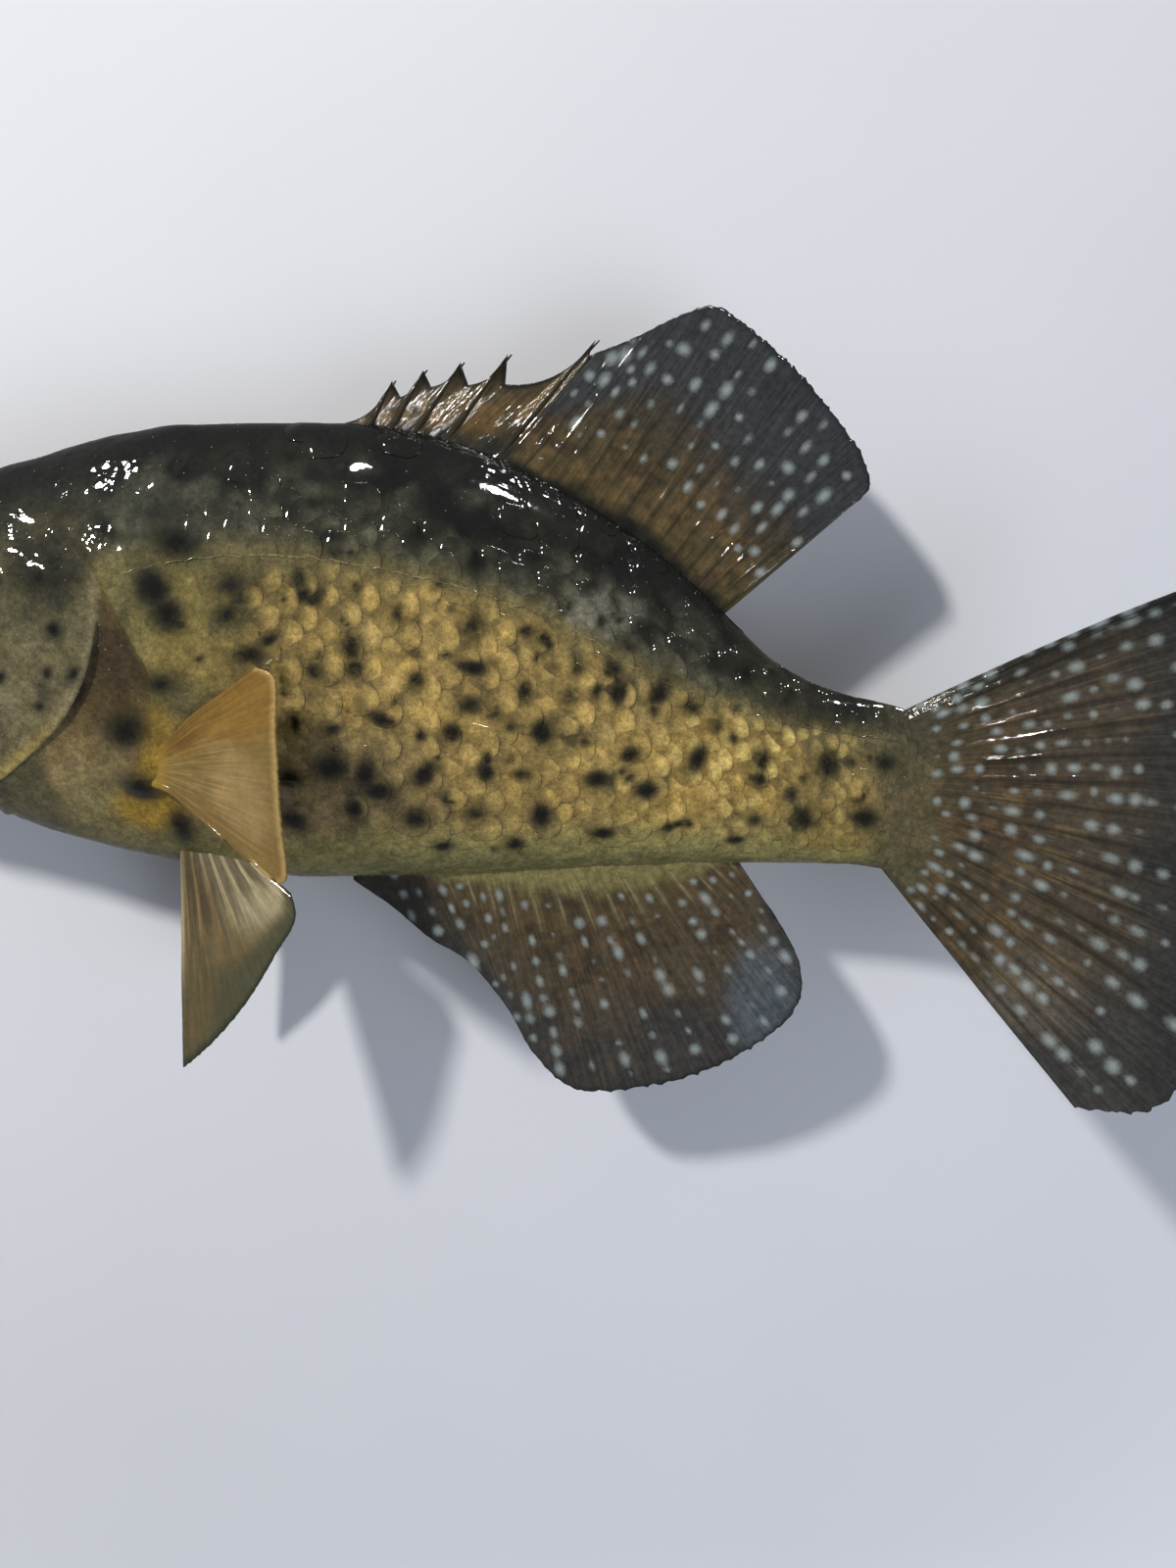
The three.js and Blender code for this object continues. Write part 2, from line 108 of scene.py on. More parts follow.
NOSTRILS = ((-163, 20), (-159.5, 21.6))
JAW_PORES = ((-172, -5.4), (-165, -12), (-158.5, -18.6), (-151.5, -24.2))

# Dark marks on the left flank: x, z, half length, half height, turn in degrees, darkness.
MARKS = (
    (-81.7, 7.3, 1.6, 1.9, 20, 0.9), (-84, -2.5, 1.3, 1.6, 0, 0.55), (-78, -2.5, 2.2, 1.1, 50, 0.5),
    (-87, -10.6, 1.6, 1.6, 0, 0.4), (-85, 19, 2.4, 1.8, 0, 0.6), (-53.6, 27, 5.2, 3.8, -15, 0.85),
    (-42.7, 46.8, 3.6, 3, 0, 0.6), (-58.9, 16.8, 3.6, 4.6, 20, 0.95), (-55.8, 10.8, 3.6, 4.2, 30, 0.85),
    (-41.5, 17.5, 4.4, 4.4, 0, 0.38), (-42.1, 10.8, 4.6, 3.6, 0, 0.42), (-37.6, 1.4, 3.2, 1.9, 0, 1),
    (-32.9, 4.9, 2.3, 1.3, 30, 0.8), (-25.4, 18.6, 1.5, 2.4, 10, 0.75), (-24.6, 15.3, 1.6, 1.8, 0, 0.9),
    (-22.4, 13.9, 2, 1.2, 0, 0.85), (-20.4, 15.6, 1.2, 1.8, 0, 0.7), (-22.6, -2.5, 1.9, 2.4, 30, 0.65),
    (-13.8, 2.8, 2, 3, 5, 0.95), (-13.3, -2, 2, 2.6, 0, 0.85), (-27.8, -15.2, 1, 2.3, 5, 0.95),
    (-19, -16.5, 2.4, 1.3, 10, 0.6), (-7.2, -14.3, 3.4, 1.6, -25, 0.9), (-20.2, -26, 4, 3.2, 0, 0.9),
    (-12.2, -27.8, 2.4, 4.2, -15, 1), (-9.3, -32.2, 3.2, 2, -10, 1), (-15.5, -36.8, 1.9, 2.1, 0, 0.9),
    (-30.2, -28.7, 3, 2.6, 0, 0.85), (-30.4, -39.8, 3.4, 2.4, -30, 0.9), (-65.9, -30.3, 4.2, 3.4, 0, 0.95),
    (-68, -16.8, 5, 4.4, 30, 0.75), (-58.5, -41.6, 2.8, 4.6, 0, 0.8), (-58.4, -5.2, 5, 3.4, 0, 0.42),
    (1, -5, 1.9, 2.3, 0, 0.9), (2.2, -28, 2, 3.4, -40, 1), (-0.6, -39.6, 2.8, 2.6, 0, 0.9),
    (-22.4, 36.3, 2.6, 2, 0, 0.5), (-18.7, 28.7, 4, 2.2, 0, 0.7), (-18.3, 37, 2.2, 2, 0, 0.45),
    (2.2, 29.4, 3.6, 3.2, 0, 0.8), (-28.2, 47.5, 5, 3.4, 0, 0.5), (15.4, 23, 3, 3.4, 0, 0.9),
    (14.4, 8, 3.4, 4.2, -30, 0.5), (0.8, 1.5, 1.6, 1.4, 0, 0.5), (14.3, -2, 3.8, 1.7, -8, 0.9),
    (27.4, 6.4, 1.9, 1.5, 0, 0.95), (31.4, 4.9, 1.9, 1.6, 0, 0.95), (32.6, 3, 1.1, 1.4, 0, 0.8),
    (26.6, -7.6, 1.9, 2.9, 0, 0.8), (13.4, -11, 4.4, 3.6, 20, 0.42), (9, -17.8, 2.3, 2.4, 0, 0.95),
    (1.5, -18.2, 1.5, 1.7, 0, 0.65), (30.6, -17.8, 2.6, 3.4, 20, 0.85), (40.9, -20.5, 2, 2.2, 0, 0.45),
    (17, -27.7, 2, 2.2, 0, 1), (17.3, -24.2, 1, 2.2, 0, 0.85), (25.6, -28.5, 3, 1.8, 0, 0.6),
    (7, -34.6, 1.2, 1.6, 0, 0.6), (8.6, -35.6, 1.2, 1, 0, 0.5), (30.2, -39.4, 2.6, 3.2, 0, 0.92),
    (5.6, -47.9, 2.5, 1.6, 10, 0.8), (23.4, -47.5, 2.2, 2, 0, 0.88), (44, -29.9, 3.2, 2.2, 0, 0.88),
    (45.6, -44.7, 3, 1.6, 0, 0.92), (18.2, -48.9, 1, 0.8, 0, 0.7), (47.4, -3, 2.4, 2.2, 20, 0.75),
    (49.2, -8.4, 2, 3.4, -20, 0.9), (59, -8.4, 2.2, 3.8, -25, 0.92), (52, -23.8, 2.6, 2, 10, 0.9),
    (56.5, -33, 2.6, 2.1, 10, 0.98), (68.6, -25, 2, 3.6, -20, 0.92), (84.9, -25.6, 1.7, 2.6, -15, 0.85),
    (84.3, -30.4, 1.7, 2.2, 0, 0.85), (80.5, -4.3, 3.4, 3, 0, 0.8), (61.9, -43.2, 1.6, 1.3, 20, 0.85),
    (64.6, -42.2, 2.4, 0.8, 15, 0.9), (67, -42, 1.3, 1.2, 0, 0.85), (79, -46.7, 2.2, 1.2, 0, 0.95),
    (95.2, -40.5, 3.6, 3.6, 0, 0.8), (110.5, -40, 3.2, 2.6, -20, 0.95), (100.8, -26.6, 3, 4, 0, 0.8),
    (115, -26.2, 3, 2.6, 0, 0.6), (67, -12.4, 3, 2.8, 0, 0.4), (37, -9.2, 3, 3, 0, 0.4),
    (14, -38.6, 3.6, 2.8, 0, 0.38), (83.5, -41, 2.2, 2, 0, 0.5), (73, -17, 2.2, 2.6, 0, 0.4),
    (92, -34, 2, 2.6, 0, 0.45), (39.5, -2.6, 2, 2.6, -20, 0.4), (-3, 11, 2.4, 3.2, -10, 0.38),
)
FAINT_MARKS = 70                  # more, faint and scattered, on each flank
HEAD_MARKS = 34                   # on each cheek and gill cover


def srgb(code, alpha=1.0):
    """An sRGB hex colour as a linear one."""
    parts = [int(code[i:i + 2], 16) / 255 for i in (0, 2, 4)]
    return (*(p / 12.92 if p <= 0.04045 else ((p + 0.055) / 1.055) ** 2.4 for p in parts), alpha)


# ---- numbers ----
def line(knots):
    """A smooth line through (x, value) knots that never overshoots them."""
    xs, vs = np.array(knots, float).T
    slopes = np.diff(vs) / np.diff(xs)
    before, after = np.r_[slopes[0], slopes], np.r_[slopes, slopes[-1]]
    total = np.where(before + after == 0, 1, before + after)
    tangents = np.where(before * after > 0, 2 * before * after / total, 0)

    def at(x):
        x = np.clip(x, xs[0], xs[-1])
        i = np.clip(np.searchsorted(xs, x, side="right") - 1, 0, len(xs) - 2)
        span = xs[i + 1] - xs[i]
        t = (x - xs[i]) / span
        fall = (1 + 2 * t) * (1 - t) ** 2
        bend = tangents[i] * t * (1 - t) ** 2 - tangents[i + 1] * t * t * (1 - t)
        return vs[i] * fall + vs[i + 1] * (1 - fall) + span * bend

    return at


back, belly = line(BACK), line(BELLY)
half_thickness, midline = line(HALF_THICKNESS), line(MIDLINE)
lateral_line = line(LATERAL_LINE)


def ease(value, start, end):
    """0 before start, 1 past end, smooth between; start may be the larger."""
    t = np.clip((value - start) / (end - start), 0, 1)
    return t * t * (3 - 2 * t)


def bump(distance, width):
    """1 at no distance, falling away smoothly within about a width."""
    return np.exp(-(distance / width) ** 2)


SLANT = np.array(((0.36, 0.48, -0.8), (-0.8, 0.6, 0), (0.48, 0.64, 0.6)))   # turns the cells off the axes
CELL_KEYS = (73856093, 19349663, 83492791)   # large primes, one for each direction, that shuffle them


def cloud(points, size, seed):
    """Smooth random values from -1 to 1 at (n, 3) points, with features of one size."""
    at = points @ SLANT / size + 11.3 * seed
    cell = np.floor(at).astype(np.int64)
    f = at - cell
    f = f * f * (3 - 2 * f)
    total = np.zeros(len(points))
    for dx in (0, 1):
        for dy in (0, 1):
            for dz in (0, 1):
                key = ((cell[:, 0] + dx) * CELL_KEYS[0] ^ (cell[:, 1] + dy) * CELL_KEYS[1]
                       ^ (cell[:, 2] + dz) * CELL_KEYS[2])
                key = (key ^ (key >> 13)) * 1274126177 & 0xFFFFFF
                share = np.abs(1 - dx - f[:, 0]) * np.abs(1 - dy - f[:, 1]) * np.abs(1 - dz - f[:, 2])
                total += share * ((key >> 6 & 0xFFFF) / 32767.5 - 1)
    return total


def curve(points, count, even=False):
    """A centripetal curve through points, sampled at count places, evenly by length if asked."""
    knots = np.array(points, float)
    knots = np.vstack([2 * knots[0] - knots[1], knots, 2 * knots[-1] - knots[-2]])
    shares = np.linspace(0, 1, 40 * len(points) if even else count)
    found = []
    for share in shares * (len(points) - 1):
        i = min(int(share), len(points) - 2)
        t = share - i
        p = knots[i:i + 4]
        d = np.sqrt(np.maximum(np.linalg.norm(np.diff(p, axis=0), axis=1), 1e-9))
        start = ((p[1] - p[0]) / d[0] - (p[2] - p[0]) / (d[0] + d[1]) + (p[2] - p[1]) / d[1]) * d[1]
        end = ((p[2] - p[1]) / d[1] - (p[3] - p[1]) / (d[1] + d[2]) + (p[3] - p[2]) / d[2]) * d[1]
        found.append(p[1] + start * t + (3 * (p[2] - p[1]) - 2 * start - end) * t * t
                     + (2 * (p[1] - p[2]) + start + end) * t ** 3)
    found = np.array(found)
    if not even:
        return found
    run = np.r_[0, np.cumsum(np.linalg.norm(np.diff(found, axis=0), axis=1))]
    wanted = np.linspace(0, run[-1], count)
    return np.stack([np.interp(wanted, run, found[:, k]) for k in range(found.shape[1])], 1)


def off_line(knots, x, z):
    """Distance to a smooth line in the flank's plane, positive on its right going from its first point
    to its last, with the share along it and the direction to its left."""
    path = curve(knots, 60, even=True)
    best = np.full(x.shape, 1e9)
    signed, share = np.zeros(x.shape), np.zeros(x.shape)
    away = np.zeros((*x.shape, 2))
    for i, (a, b) in enumerate(zip(path[:-1], path[1:])):
        run = b - a
        t = np.clip(((x - a[0]) * run[0] + (z - a[1]) * run[1]) / (run @ run), 0, 1)
        dx, dz = x - a[0] - t * run[0], z - a[1] - t * run[1]
        distance = np.hypot(dx, dz)
        nearer = distance < best
        side = np.sign(run[1] * dx - run[0] * dz)
        best = np.where(nearer, distance, best)
        signed = np.where(nearer, side * distance, signed)
        share = np.where(nearer, (i + t) / (len(path) - 1), share)
        normal = np.array([-run[1], run[0]]) / np.linalg.norm(run)
        away = np.where(nearer[..., None], normal, away)
    return signed, share, away


# ---- the body as a look-up table: stations along it, and shares of the girth from belly to back ----
def body_table():
    xs = np.arange(SNOUT_X, TAIL_BASE_X + STEP / 2, STEP)
    angles = np.linspace(-np.pi / 2, np.pi / 2, 700)
    rise = np.sin(angles)
    ridge = np.where(rise > 0, BACK_RIDGE, BELLY_RIDGE)
    share = (1 - np.abs(rise) ** SECTION_POWER) ** ridge
    middle, reach = (back(xs) + belly(xs)) / 2, (back(xs) - belly(xs)) / 2
    off, z, girth, mid = [], [], [], []
    thinned = 1 - 0.35 * ease(xs, TAIL_BASE_X - 24, TAIL_BASE_X)     # the stalk runs out into the tail
    for i in range(len(xs)):
        y_line = np.maximum(0.4, half_thickness(xs[i])) * thinned[i] * share
        z_line = middle[i] + rise * reach[i]
        run = np.r_[0, np.cumsum(np.hypot(np.diff(y_line), np.diff(z_line)))]
        even = np.linspace(0, run[-1], 241)
        off.append(np.interp(even, run, y_line))
        z.append(np.interp(even, run, z_line))
        girth.append(run[-1])
        mid.append(np.interp(0, rise, run))
    return xs, np.array(off), np.array(z), np.array(girth), np.array(mid)


TABLE_X, TABLE_OFF, TABLE_Z, TABLE_GIRTH, TABLE_MID = body_table()


def girth(x):
    """Length round one flank from belly to back, and the part of it below mid-depth."""
    return np.interp(x, TABLE_X, TABLE_GIRTH), np.interp(x, TABLE_X, TABLE_MID)


def skin_point(x, t, side):
    """Points at station x and share t of the way up one flank. Past 0 or 1 they go on round the other."""
    side = np.where((t > 1) | (t < 0), -side, side)
    t = np.where(t > 1, 2 - t, np.abs(t))
    fx = np.clip((x - TABLE_X[0]) / STEP, 0, len(TABLE_X) - 1.001)
    ft = np.clip(t * 240, 0, 239.999)
    i, j = fx.astype(int), ft.astype(int)
    u, v = fx - i, ft - j

    def blend(table):
        low = table[i, j] * (1 - v) + table[i, j + 1] * v
        high = table[i + 1, j] * (1 - v) + table[i + 1, j + 1] * v
        return low * (1 - u) + high * u

    return np.stack([x, -midline(x) + side * blend(TABLE_OFF), blend(TABLE_Z)], -1)


def skin_normal(x, t, side):
    reach = 1.2
    turn = reach / np.maximum(girth(x)[0], 4)
    x0, x1 = np.maximum(x - reach, SNOUT_X), np.minimum(x + reach, TAIL_BASE_X)
    along = skin_point(x1, t, side) - skin_point(x0, t, side)
    up = skin_point(x, t + turn, side) - skin_point(x, t - turn, side)
    normal = np.cross(along, up) * np.where(np.asarray(side) == LEFT, 1, -1)[..., None]
    return normal / np.maximum(np.linalg.norm(normal, axis=-1, keepdims=True), 1e-9)


def share_at(x, z):
    """The share of the way up the flank at which it has height z."""
    found = []
    for one_x, one_z in zip(np.atleast_1d(x), np.atleast_1d(z)):
        column = TABLE_Z[int(np.clip(round((one_x - SNOUT_X) / STEP), 0, len(TABLE_X) - 1))]
        found.append(np.interp(one_z, column, np.linspace(0, 1, len(column))))
    return np.array(found)


# ---- the painted colours ----
def layer(colour, coats):
    """Paints coats over a colour in turn. Each is a colour's hex code and where it shows, from 0 to 1."""
    for code, mask in coats:
        colour = colour + (np.array(srgb(code)[:3]) - colour) * np.clip(mask, 0, 1)[:, None]
    return colour


def near(x, z, cx, cz, rx, rz):
    """1 in the middle of a soft patch, 0 outside it."""
    return ease(np.hypot((x - cx) / rx, (z - cz) / rz), 1, 0.35)


def body_paint(points):
    """The colour of the painted skin, from dark back to golden flank and grey-green belly."""
    x, z = points[:, 0], points[:, 2]
    fog, wisp, grain = cloud(points, 14, 1), cloud(points, 5.5, 2), cloud(points, 2.2, 3)
    patch, smear = cloud(points, 8, 4), cloud(points * (1, 1, 0.6), 3.6, 5)
    above = z - lateral_line(x) + 2 * fog + 1.6 * wisp + 0.8 * grain
    to_back = (back(x) - z) / np.maximum(back(x) - lateral_line(x), 3)
    colour = np.tile(np.array(srgb("A08A52")[:3]), (len(x), 1))
    colour = layer(colour, [
        ("D6B566", 0.85 * ease(0.7 * wisp + 0.5 * grain + 0.4 * patch, -0.1, 0.65)),
        # Paler gold toward the rear and belly and darker olive toward the front and top: partly the paint's
        # own tone, partly painted light and painted shade that even out the key lamp from the upper left.
        ("B8994F", 0.6 * ease(x - 0.5 * z + 8 * fog, 40, 90)),
        ("615C41", 0.85 * ease(0.7 * smear + 0.6 * patch + 0.3 * grain, 0.1, 0.7)),
        ("665B37", 0.72 * ease(x - 0.6 * z + 8 * fog, 4, -40)),
        ("38382B", 0.6 * ease(0.8 * smear + 0.6 * patch, 0.4, 0.9)),
    ])
    lower_front = ease(x + 6 * fog, 18, -12) * ease(z + 4 * fog, -14, -28)
    colour = layer(colour, [
        ("5E5538", 0.55 * ease(smear + 0.5 * patch + 0.3 * fog, -0.1, 0.6) * ease(x, 16, -26)
                   * ease(z, -30, -12)),
        ("7A6C4D", 0.85 * lower_front),
        ("9A8260", 0.7 * lower_front * ease(wisp + 0.5 * grain, 0, 0.7)),
        ("453D2C", 0.6 * lower_front * ease(smear, 0.1, 0.7)),
        ("948B56", ease(z + 3 * wisp - 0.02 * x, -38, -48)),
        ("6E6C48", 0.6 * ease(z + 2 * wisp, -47, -54)),
    ])
    # above the lateral line
    colour = layer(colour, [
        ("5E5A3D", 0.8 * ease(above, -9, 1)),
        ("4B4938", ease(above, 0, 6)),
        ("33342B", ease(above, 4, 12)),
        ("716E58", 0.6 * ease(0.6 * wisp + grain * 0.5 + 0.5 * patch, 0.15, 0.75) * ease(above, 0, 6)
                   * ease(to_back, 0.3, 0.8)),
    ])
    blot = cloud(points, 6.5, 8)
    colour = layer(colour, [
        ("1A1B18", ease(to_back + 0.22 * fog + 0.14 * wisp + 0.08 * smear, 0.75, 0.4)),
        ("43453A", 0.75 * ease(blot + 0.4 * wisp, -0.05, 0.6) * ease(to_back, 0.12, 0.4)
                   * ease(above, 2, 9)),
        ("0E100F", 0.9 * ease(patch + 0.6 * smear - 0.3 * blot, 0.15, 0.65) * ease(to_back, 0.95, 0.6)),
        ("45453A", 0.7 * ease(wisp - 0.4 * patch, 0.2, 0.8) * ease(to_back, 0.12, 0.5) * ease(above, 2, 9)),
        # painted highlight: a pale grey patch near the lateral line stands for sheen on the clear coat
        ("9C9A8A", 0.6 * near(x, z, 44, 11, 16, 8) * ease(smear + 0.5 * wisp, -0.3, 0.5)),
        ("131513", 0.85 * ease(to_back + 0.1 * wisp, 0.3, 0.05)),
    ])
    # tail stalk
    stalk = ease(x, 72, 108)
    colour = layer(colour, [
        ("6A6446", 0.6 * stalk * ease(z, -58, -24)),
        ("1E201D", stalk * ease(z + 2.5 * wisp, -22, -14)),
        ("85713A", 0.6 * near(x, z, 106, -44, 18, 9)),
        ("4A4839", ease(x + 2 * wisp, 107, 119) * 0.85),
        ("6A5F42", 0.6 * ease(wisp + 0.6 * grain, 0, 0.7) * ease(x, 112, 120)),
    ])
    front = x < FRONT_END
    colour[front] = front_paint(colour[front], points[front], wisp[front], grain[front])
    return colour


def front_paint(colour, points, wisp, grain):
    """Shoulder, gill membrane, throat and head, over the body's colours."""
    x, z = points[:, 0], points[:, 2]
    fog, smear = cloud(points, 9, 6), cloud(points * (1, 1, 0.7), 4.4, 7)
    back_gap = back(x) - z
    shoulder = ease(x + 3 * fog, -34, -52) * ease(z, -18, -4) * ease(z + 3 * wisp, 30, 15)
    colour = layer(colour, [
        ("6E6A45", 0.9 * shoulder),
        ("8C7E47", 0.8 * shoulder * ease(wisp + 0.6 * fog, -0.1, 0.7)),
        ("4C4C38", 0.7 * shoulder * ease(smear - 0.3 * wisp, 0.15, 0.7)),
        ("877744", 0.6 * near(x, z, -52, 1, 17, 11)),
        ("8A7438", 0.8 * near(x, z, -59, -24, 11, 16)),
        ("9C8130", 0.9 * near(x, z, -61.5, -23, 6, 18)),
        ("6B6640", 0.8 * near(x, z, -60, -47, 22, 8)),
    ])
    edge, _, _ = off_line(SHOULDER_EDGE, x, z)
    soft = 1.4 + 8 * ease(z, -4, -16)
    membrane = ease(edge, -0.6 * soft, soft) * ease(x, -112, -96)
    colour = layer(colour, [
        ("53442B", 0.95 * membrane * ease(z, 26, 17)),
        ("3A3325", 0.7 * membrane * near(x, z, -69, 0, 9, 12)),
    ])
    throat = ease(z + 0.25 * (x + 100) + 2 * wisp, -2, -20) * ease(x, -63, -74)
    colour = layer(colour, [
        ("85754F", 0.9 * throat),
        ("988663", 0.6 * throat * ease(wisp + 0.5 * fog, 0, 0.8)),
        ("7D764E", 0.8 * throat * ease(back_gap + 4 * fog, 70, 92) * ease(x, -104, -82)),
        ("A3852F", 0.9 * near(x + fog, z, -65, -37, 13, 8)),
    ])
    head = ease(x + 3 * wisp, -84, -92)
    cover_gap, share, _ = off_line(COVER_EDGE, x, z)
    blurred = 0.4 + 6 * ease(share, 0.5, 0.4)
    cover = ease(cover_gap, -2 * blurred, blurred) * ease(x, -70, -74)
    colour = layer(colour, [
        ("5B573F", np.maximum(cover, head) * ease(z, -60, -30)),
        ("746C50", 0.85 * cover * ease(z + 4 * wisp + 3 * fog, 10, -10) * ease(x, -128, -108)),
        ("38382D", 0.8 * cover * ease(smear + 0.6 * fog, -0.05, 0.65)),
        ("8A8264", 0.6 * cover * ease(wisp + 0.5 * grain, 0.1, 0.7) * ease(z, 14, 2)),
        ("8F8768", 0.8 * cover * ease(cover_gap, 2.6, 0.3) * ease(z, 26, 14)),
        ("9C8C50", 0.85 * cover * ease(cover_gap, 4.5, 1) * ease(z, -8, -20)),
        ("24251F", 0.9 * cover * near(x, z, -83, 23, 15, 13)),
    ])
    # the head ahead of the gill cover
    face = ease(x, -104, -116)
    colour = layer(colour, [
        ("6A6650", face * ease(z, 24, 6)),
        ("8C8466", 0.8 * face * ease(z + 2 * wisp, 2, -14) * ease(z, -36, -24)),
        ("7A7148", 0.8 * face * ease(back_gap + 4 * wisp, 54, 64)),
        ("3D3D31", 0.8 * face * ease(wisp + 0.5 * grain + 0.4 * smear, 0.15, 0.6)),
    ])
    stripe = bump(np.abs((z - 12) - 0.45 * (x + 148)), 5.5) * ease(x, -134, -150)
    colour = layer(colour, [("2B2B23", 0.65 * stripe)])
    lip, _, _ = off_line(LIP_PLATE, x, z)
    gape, _, _ = off_line(MOUTH, x, z)
    plate = ease(lip, -0.4, 0.4) * ease(gape, 0.4, -0.4) * ease(x, -142, -146)
    colour = layer(colour, [("55533F", 0.8 * plate)])
    lower_lip = ease(gape + 1.5 * wisp, 5.5, 2) * ease(gape, -0.2, 0.4) * ease(x, -144, -152)
    colour = layer(colour, [
        ("35342A", 0.8 * lower_lip),
        ("15140F", bump(gape, 0.75) * ease(x, -145, -148)),
        ("2F2D22", 0.7 * bump(lip, 0.6) * ease(x, -143, -146)),
    ])
    crown = ease(z - 26 - 0.42 * (x + 100) - 0.0016 * (x + 100) ** 2 + 3 * wisp + 2 * fog, -6, 5)
    colour = layer(colour, [
        ("2C2E26", 0.95 * crown * ease(x, -68, -84)),
        ("191B17", ease(back_gap + 2.5 * wisp, 15, 5) * ease(x, -60, -80)),
    ])
    # painted shade: a dark line in the gap behind the cover's edge, and a dark slit where the gill opening is
    gap = ease(cover_gap, 0.2, -0.2) * ease(cover_gap, -1.0, -0.5)
    gill_slit_shade = near(x, z, -77, -8, 4, 6) * ease(cover_gap, 0.2, -0.4) * ease(cover_gap, -3.4, -1.8)
    gap = np.maximum(0.6 * gap * ease(share, 0.93, 0.85) * ease(share, 0.44, 0.52), gill_slit_shade)
    return layer(colour, [("16120D", 0.9 * gap)])


def scatter(side):
    """The marks of one flank: those listed for the left, the same moved about on the right."""
    rng = np.random.default_rng(7 if side == LEFT else 8)
    marks = np.array(MARKS, float)
    if side == RIGHT:
        marks[:, :2] += rng.uniform(-5, 5, (len(marks), 2))
        marks[:, 4] = rng.uniform(-40, 40, len(marks))
    faint = np.stack([rng.uniform(-55, 112, FAINT_MARKS), rng.uniform(-0.4, 0.9, FAINT_MARKS),
                      rng.uniform(0.8, 2.4, FAINT_MARKS), rng.uniform(0.8, 2.8, FAINT_MARKS),
                      rng.uniform(-50, 50, FAINT_MARKS), rng.uniform(0.25, 0.5, FAINT_MARKS)], 1)
    middle = (back(faint[:, 0]) + belly(faint[:, 0])) / 2
    faint[:, 1] = middle + faint[:, 1] * (back(faint[:, 0]) - middle)
    head = np.stack([rng.uniform(-176, -92, HEAD_MARKS), rng.uniform(-0.7, 0.9, HEAD_MARKS),
                     rng.uniform(0.8, 2, HEAD_MARKS), rng.uniform(0.8, 2, HEAD_MARKS),
                     rng.uniform(-50, 50, HEAD_MARKS), rng.uniform(0.35, 0.8, HEAD_MARKS)], 1)
    middle = (back(head[:, 0]) + belly(head[:, 0])) / 2
    head[:, 1] = middle + head[:, 1] * (back(head[:, 0]) - middle)
    return np.vstack([marks, faint, head])


def speckle(points):
    """How deep inside a dark mark each point is: its darkness in the middle, 0 at its edge, then below."""
    depth = np.full(len(points), -2.0)
    near_side = points[:, 1] < -midline(points[:, 0])
    for side in (LEFT, RIGHT):
        chosen = near_side if side == LEFT else ~near_side
        x, z = points[chosen, 0], points[chosen, 2]
        found = np.full(len(x), -2.0)
        for cx, cz, rx, rz, turn, dark in scatter(side):
            c, s = math.cos(math.radians(turn)), math.sin(math.radians(turn))
            dx, dz = x - cx, z - cz
            distance = np.hypot((dx * c + dz * s) / rx, (dz * c - dx * s) / rz)
            found = np.maximum(found, (1 - distance) - 0.8 * (1 - dark))
        depth[chosen] = found
    return depth


def wetness(points):
    """Where the clear coat ran thick and lumpy: over the head and shoulder, under the dorsal fin and at
    the tail."""
    x, z = points[:, 0], points[:, 2]
    down = back(x) - z
    head = ease(x, -50, -66) * ease(down, 52, 28)
    under_fin = ease(x, -20, -4) * ease(down, 7, 2.5) * ease(x, 84, 76)
    stalk = np.maximum(ease(x, 84, 98) * ease(down, 13, 7), ease(x, 106, 116))
    return 0.3 + np.maximum(np.maximum(0.7 * head, 0.9 * under_fin), 0.15 * stalk)


# ---- meshes ----
def set_values(mesh, name, kind, values):
    """Writes a colour or a number for each vertex under a name that the material reads."""
    made = mesh.attributes.new(name, kind, "POINT")
    if kind == "FLOAT_COLOR":
        values = np.hstack([values, np.ones((len(values), 1))])
        made.data.foreach_set("color", values.astype(np.float32).ravel())
    else:
        made.data.foreach_set("value", values.astype(np.float32))


def active(name):
    """Names the piece just added, and its mesh."""
    piece = bpy.context.object
    piece.name = piece.data.name = name
    return piece


def sheet(name, points, **values):
    """A grid of (columns, rows, 3) points in millimetres, closed where its edges meet. Each value is an
    array for the same grid, of colours or of numbers."""
    columns, rows = points.shape[:2]
    bpy.ops.object.select_all(action="DESELECT")
    bpy.ops.mesh.primitive_grid_add(x_subdivisions=columns - 1, y_subdivisions=rows - 1, size=1,
                                    calc_uvs=False)
    piece = active(name)
    mesh = piece.data
    flat = np.empty(len(mesh.vertices) * 3, np.float32)
    mesh.vertices.foreach_get("co", flat)
    flat = flat.reshape(-1, 3)
    i = np.round((flat[:, 0] + 0.5) * (columns - 1)).astype(int)
    j = np.round((flat[:, 1] + 0.5) * (rows - 1)).astype(int)
    mesh.vertices.foreach_set("co", (points[i, j] * MM).astype(np.float32).ravel())
    for key, value in values.items():
        set_values(mesh, key, "FLOAT_COLOR" if value.ndim == 3 else "FLOAT", value[i, j])
    mesh.update()
    weld(piece)
    return piece


def edit(piece, *steps):
    """Runs edit-mode steps on all of a piece."""
    bpy.ops.object.select_all(action="DESELECT")
    piece.select_set(True)
    bpy.context.view_layer.objects.active = piece
    bpy.ops.object.mode_set(mode="EDIT")
    bpy.ops.mesh.select_all(action="SELECT")
    for step in steps:
        step()
    bpy.ops.object.mode_set(mode="OBJECT")


def weld(piece, distance=0.00002):
    """Merges doubled vertices and turns the faces outwards."""
    edit(piece, lambda: bpy.ops.mesh.remove_doubles(threshold=distance),
         lambda: bpy.ops.mesh.normals_make_consistent(inside=False))


def finish_piece(piece, material, slot, *nodes):
    """Smooth shading, its material, its place on the root body and the solids it stands for."""
    piece.data.polygons.foreach_set("use_smooth", [True] * len(piece.data.polygons))
    piece.data.materials.clear()
    piece.data.materials.append(material)
    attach(piece, "root")
    if nodes:
        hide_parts(*nodes)
    return piece


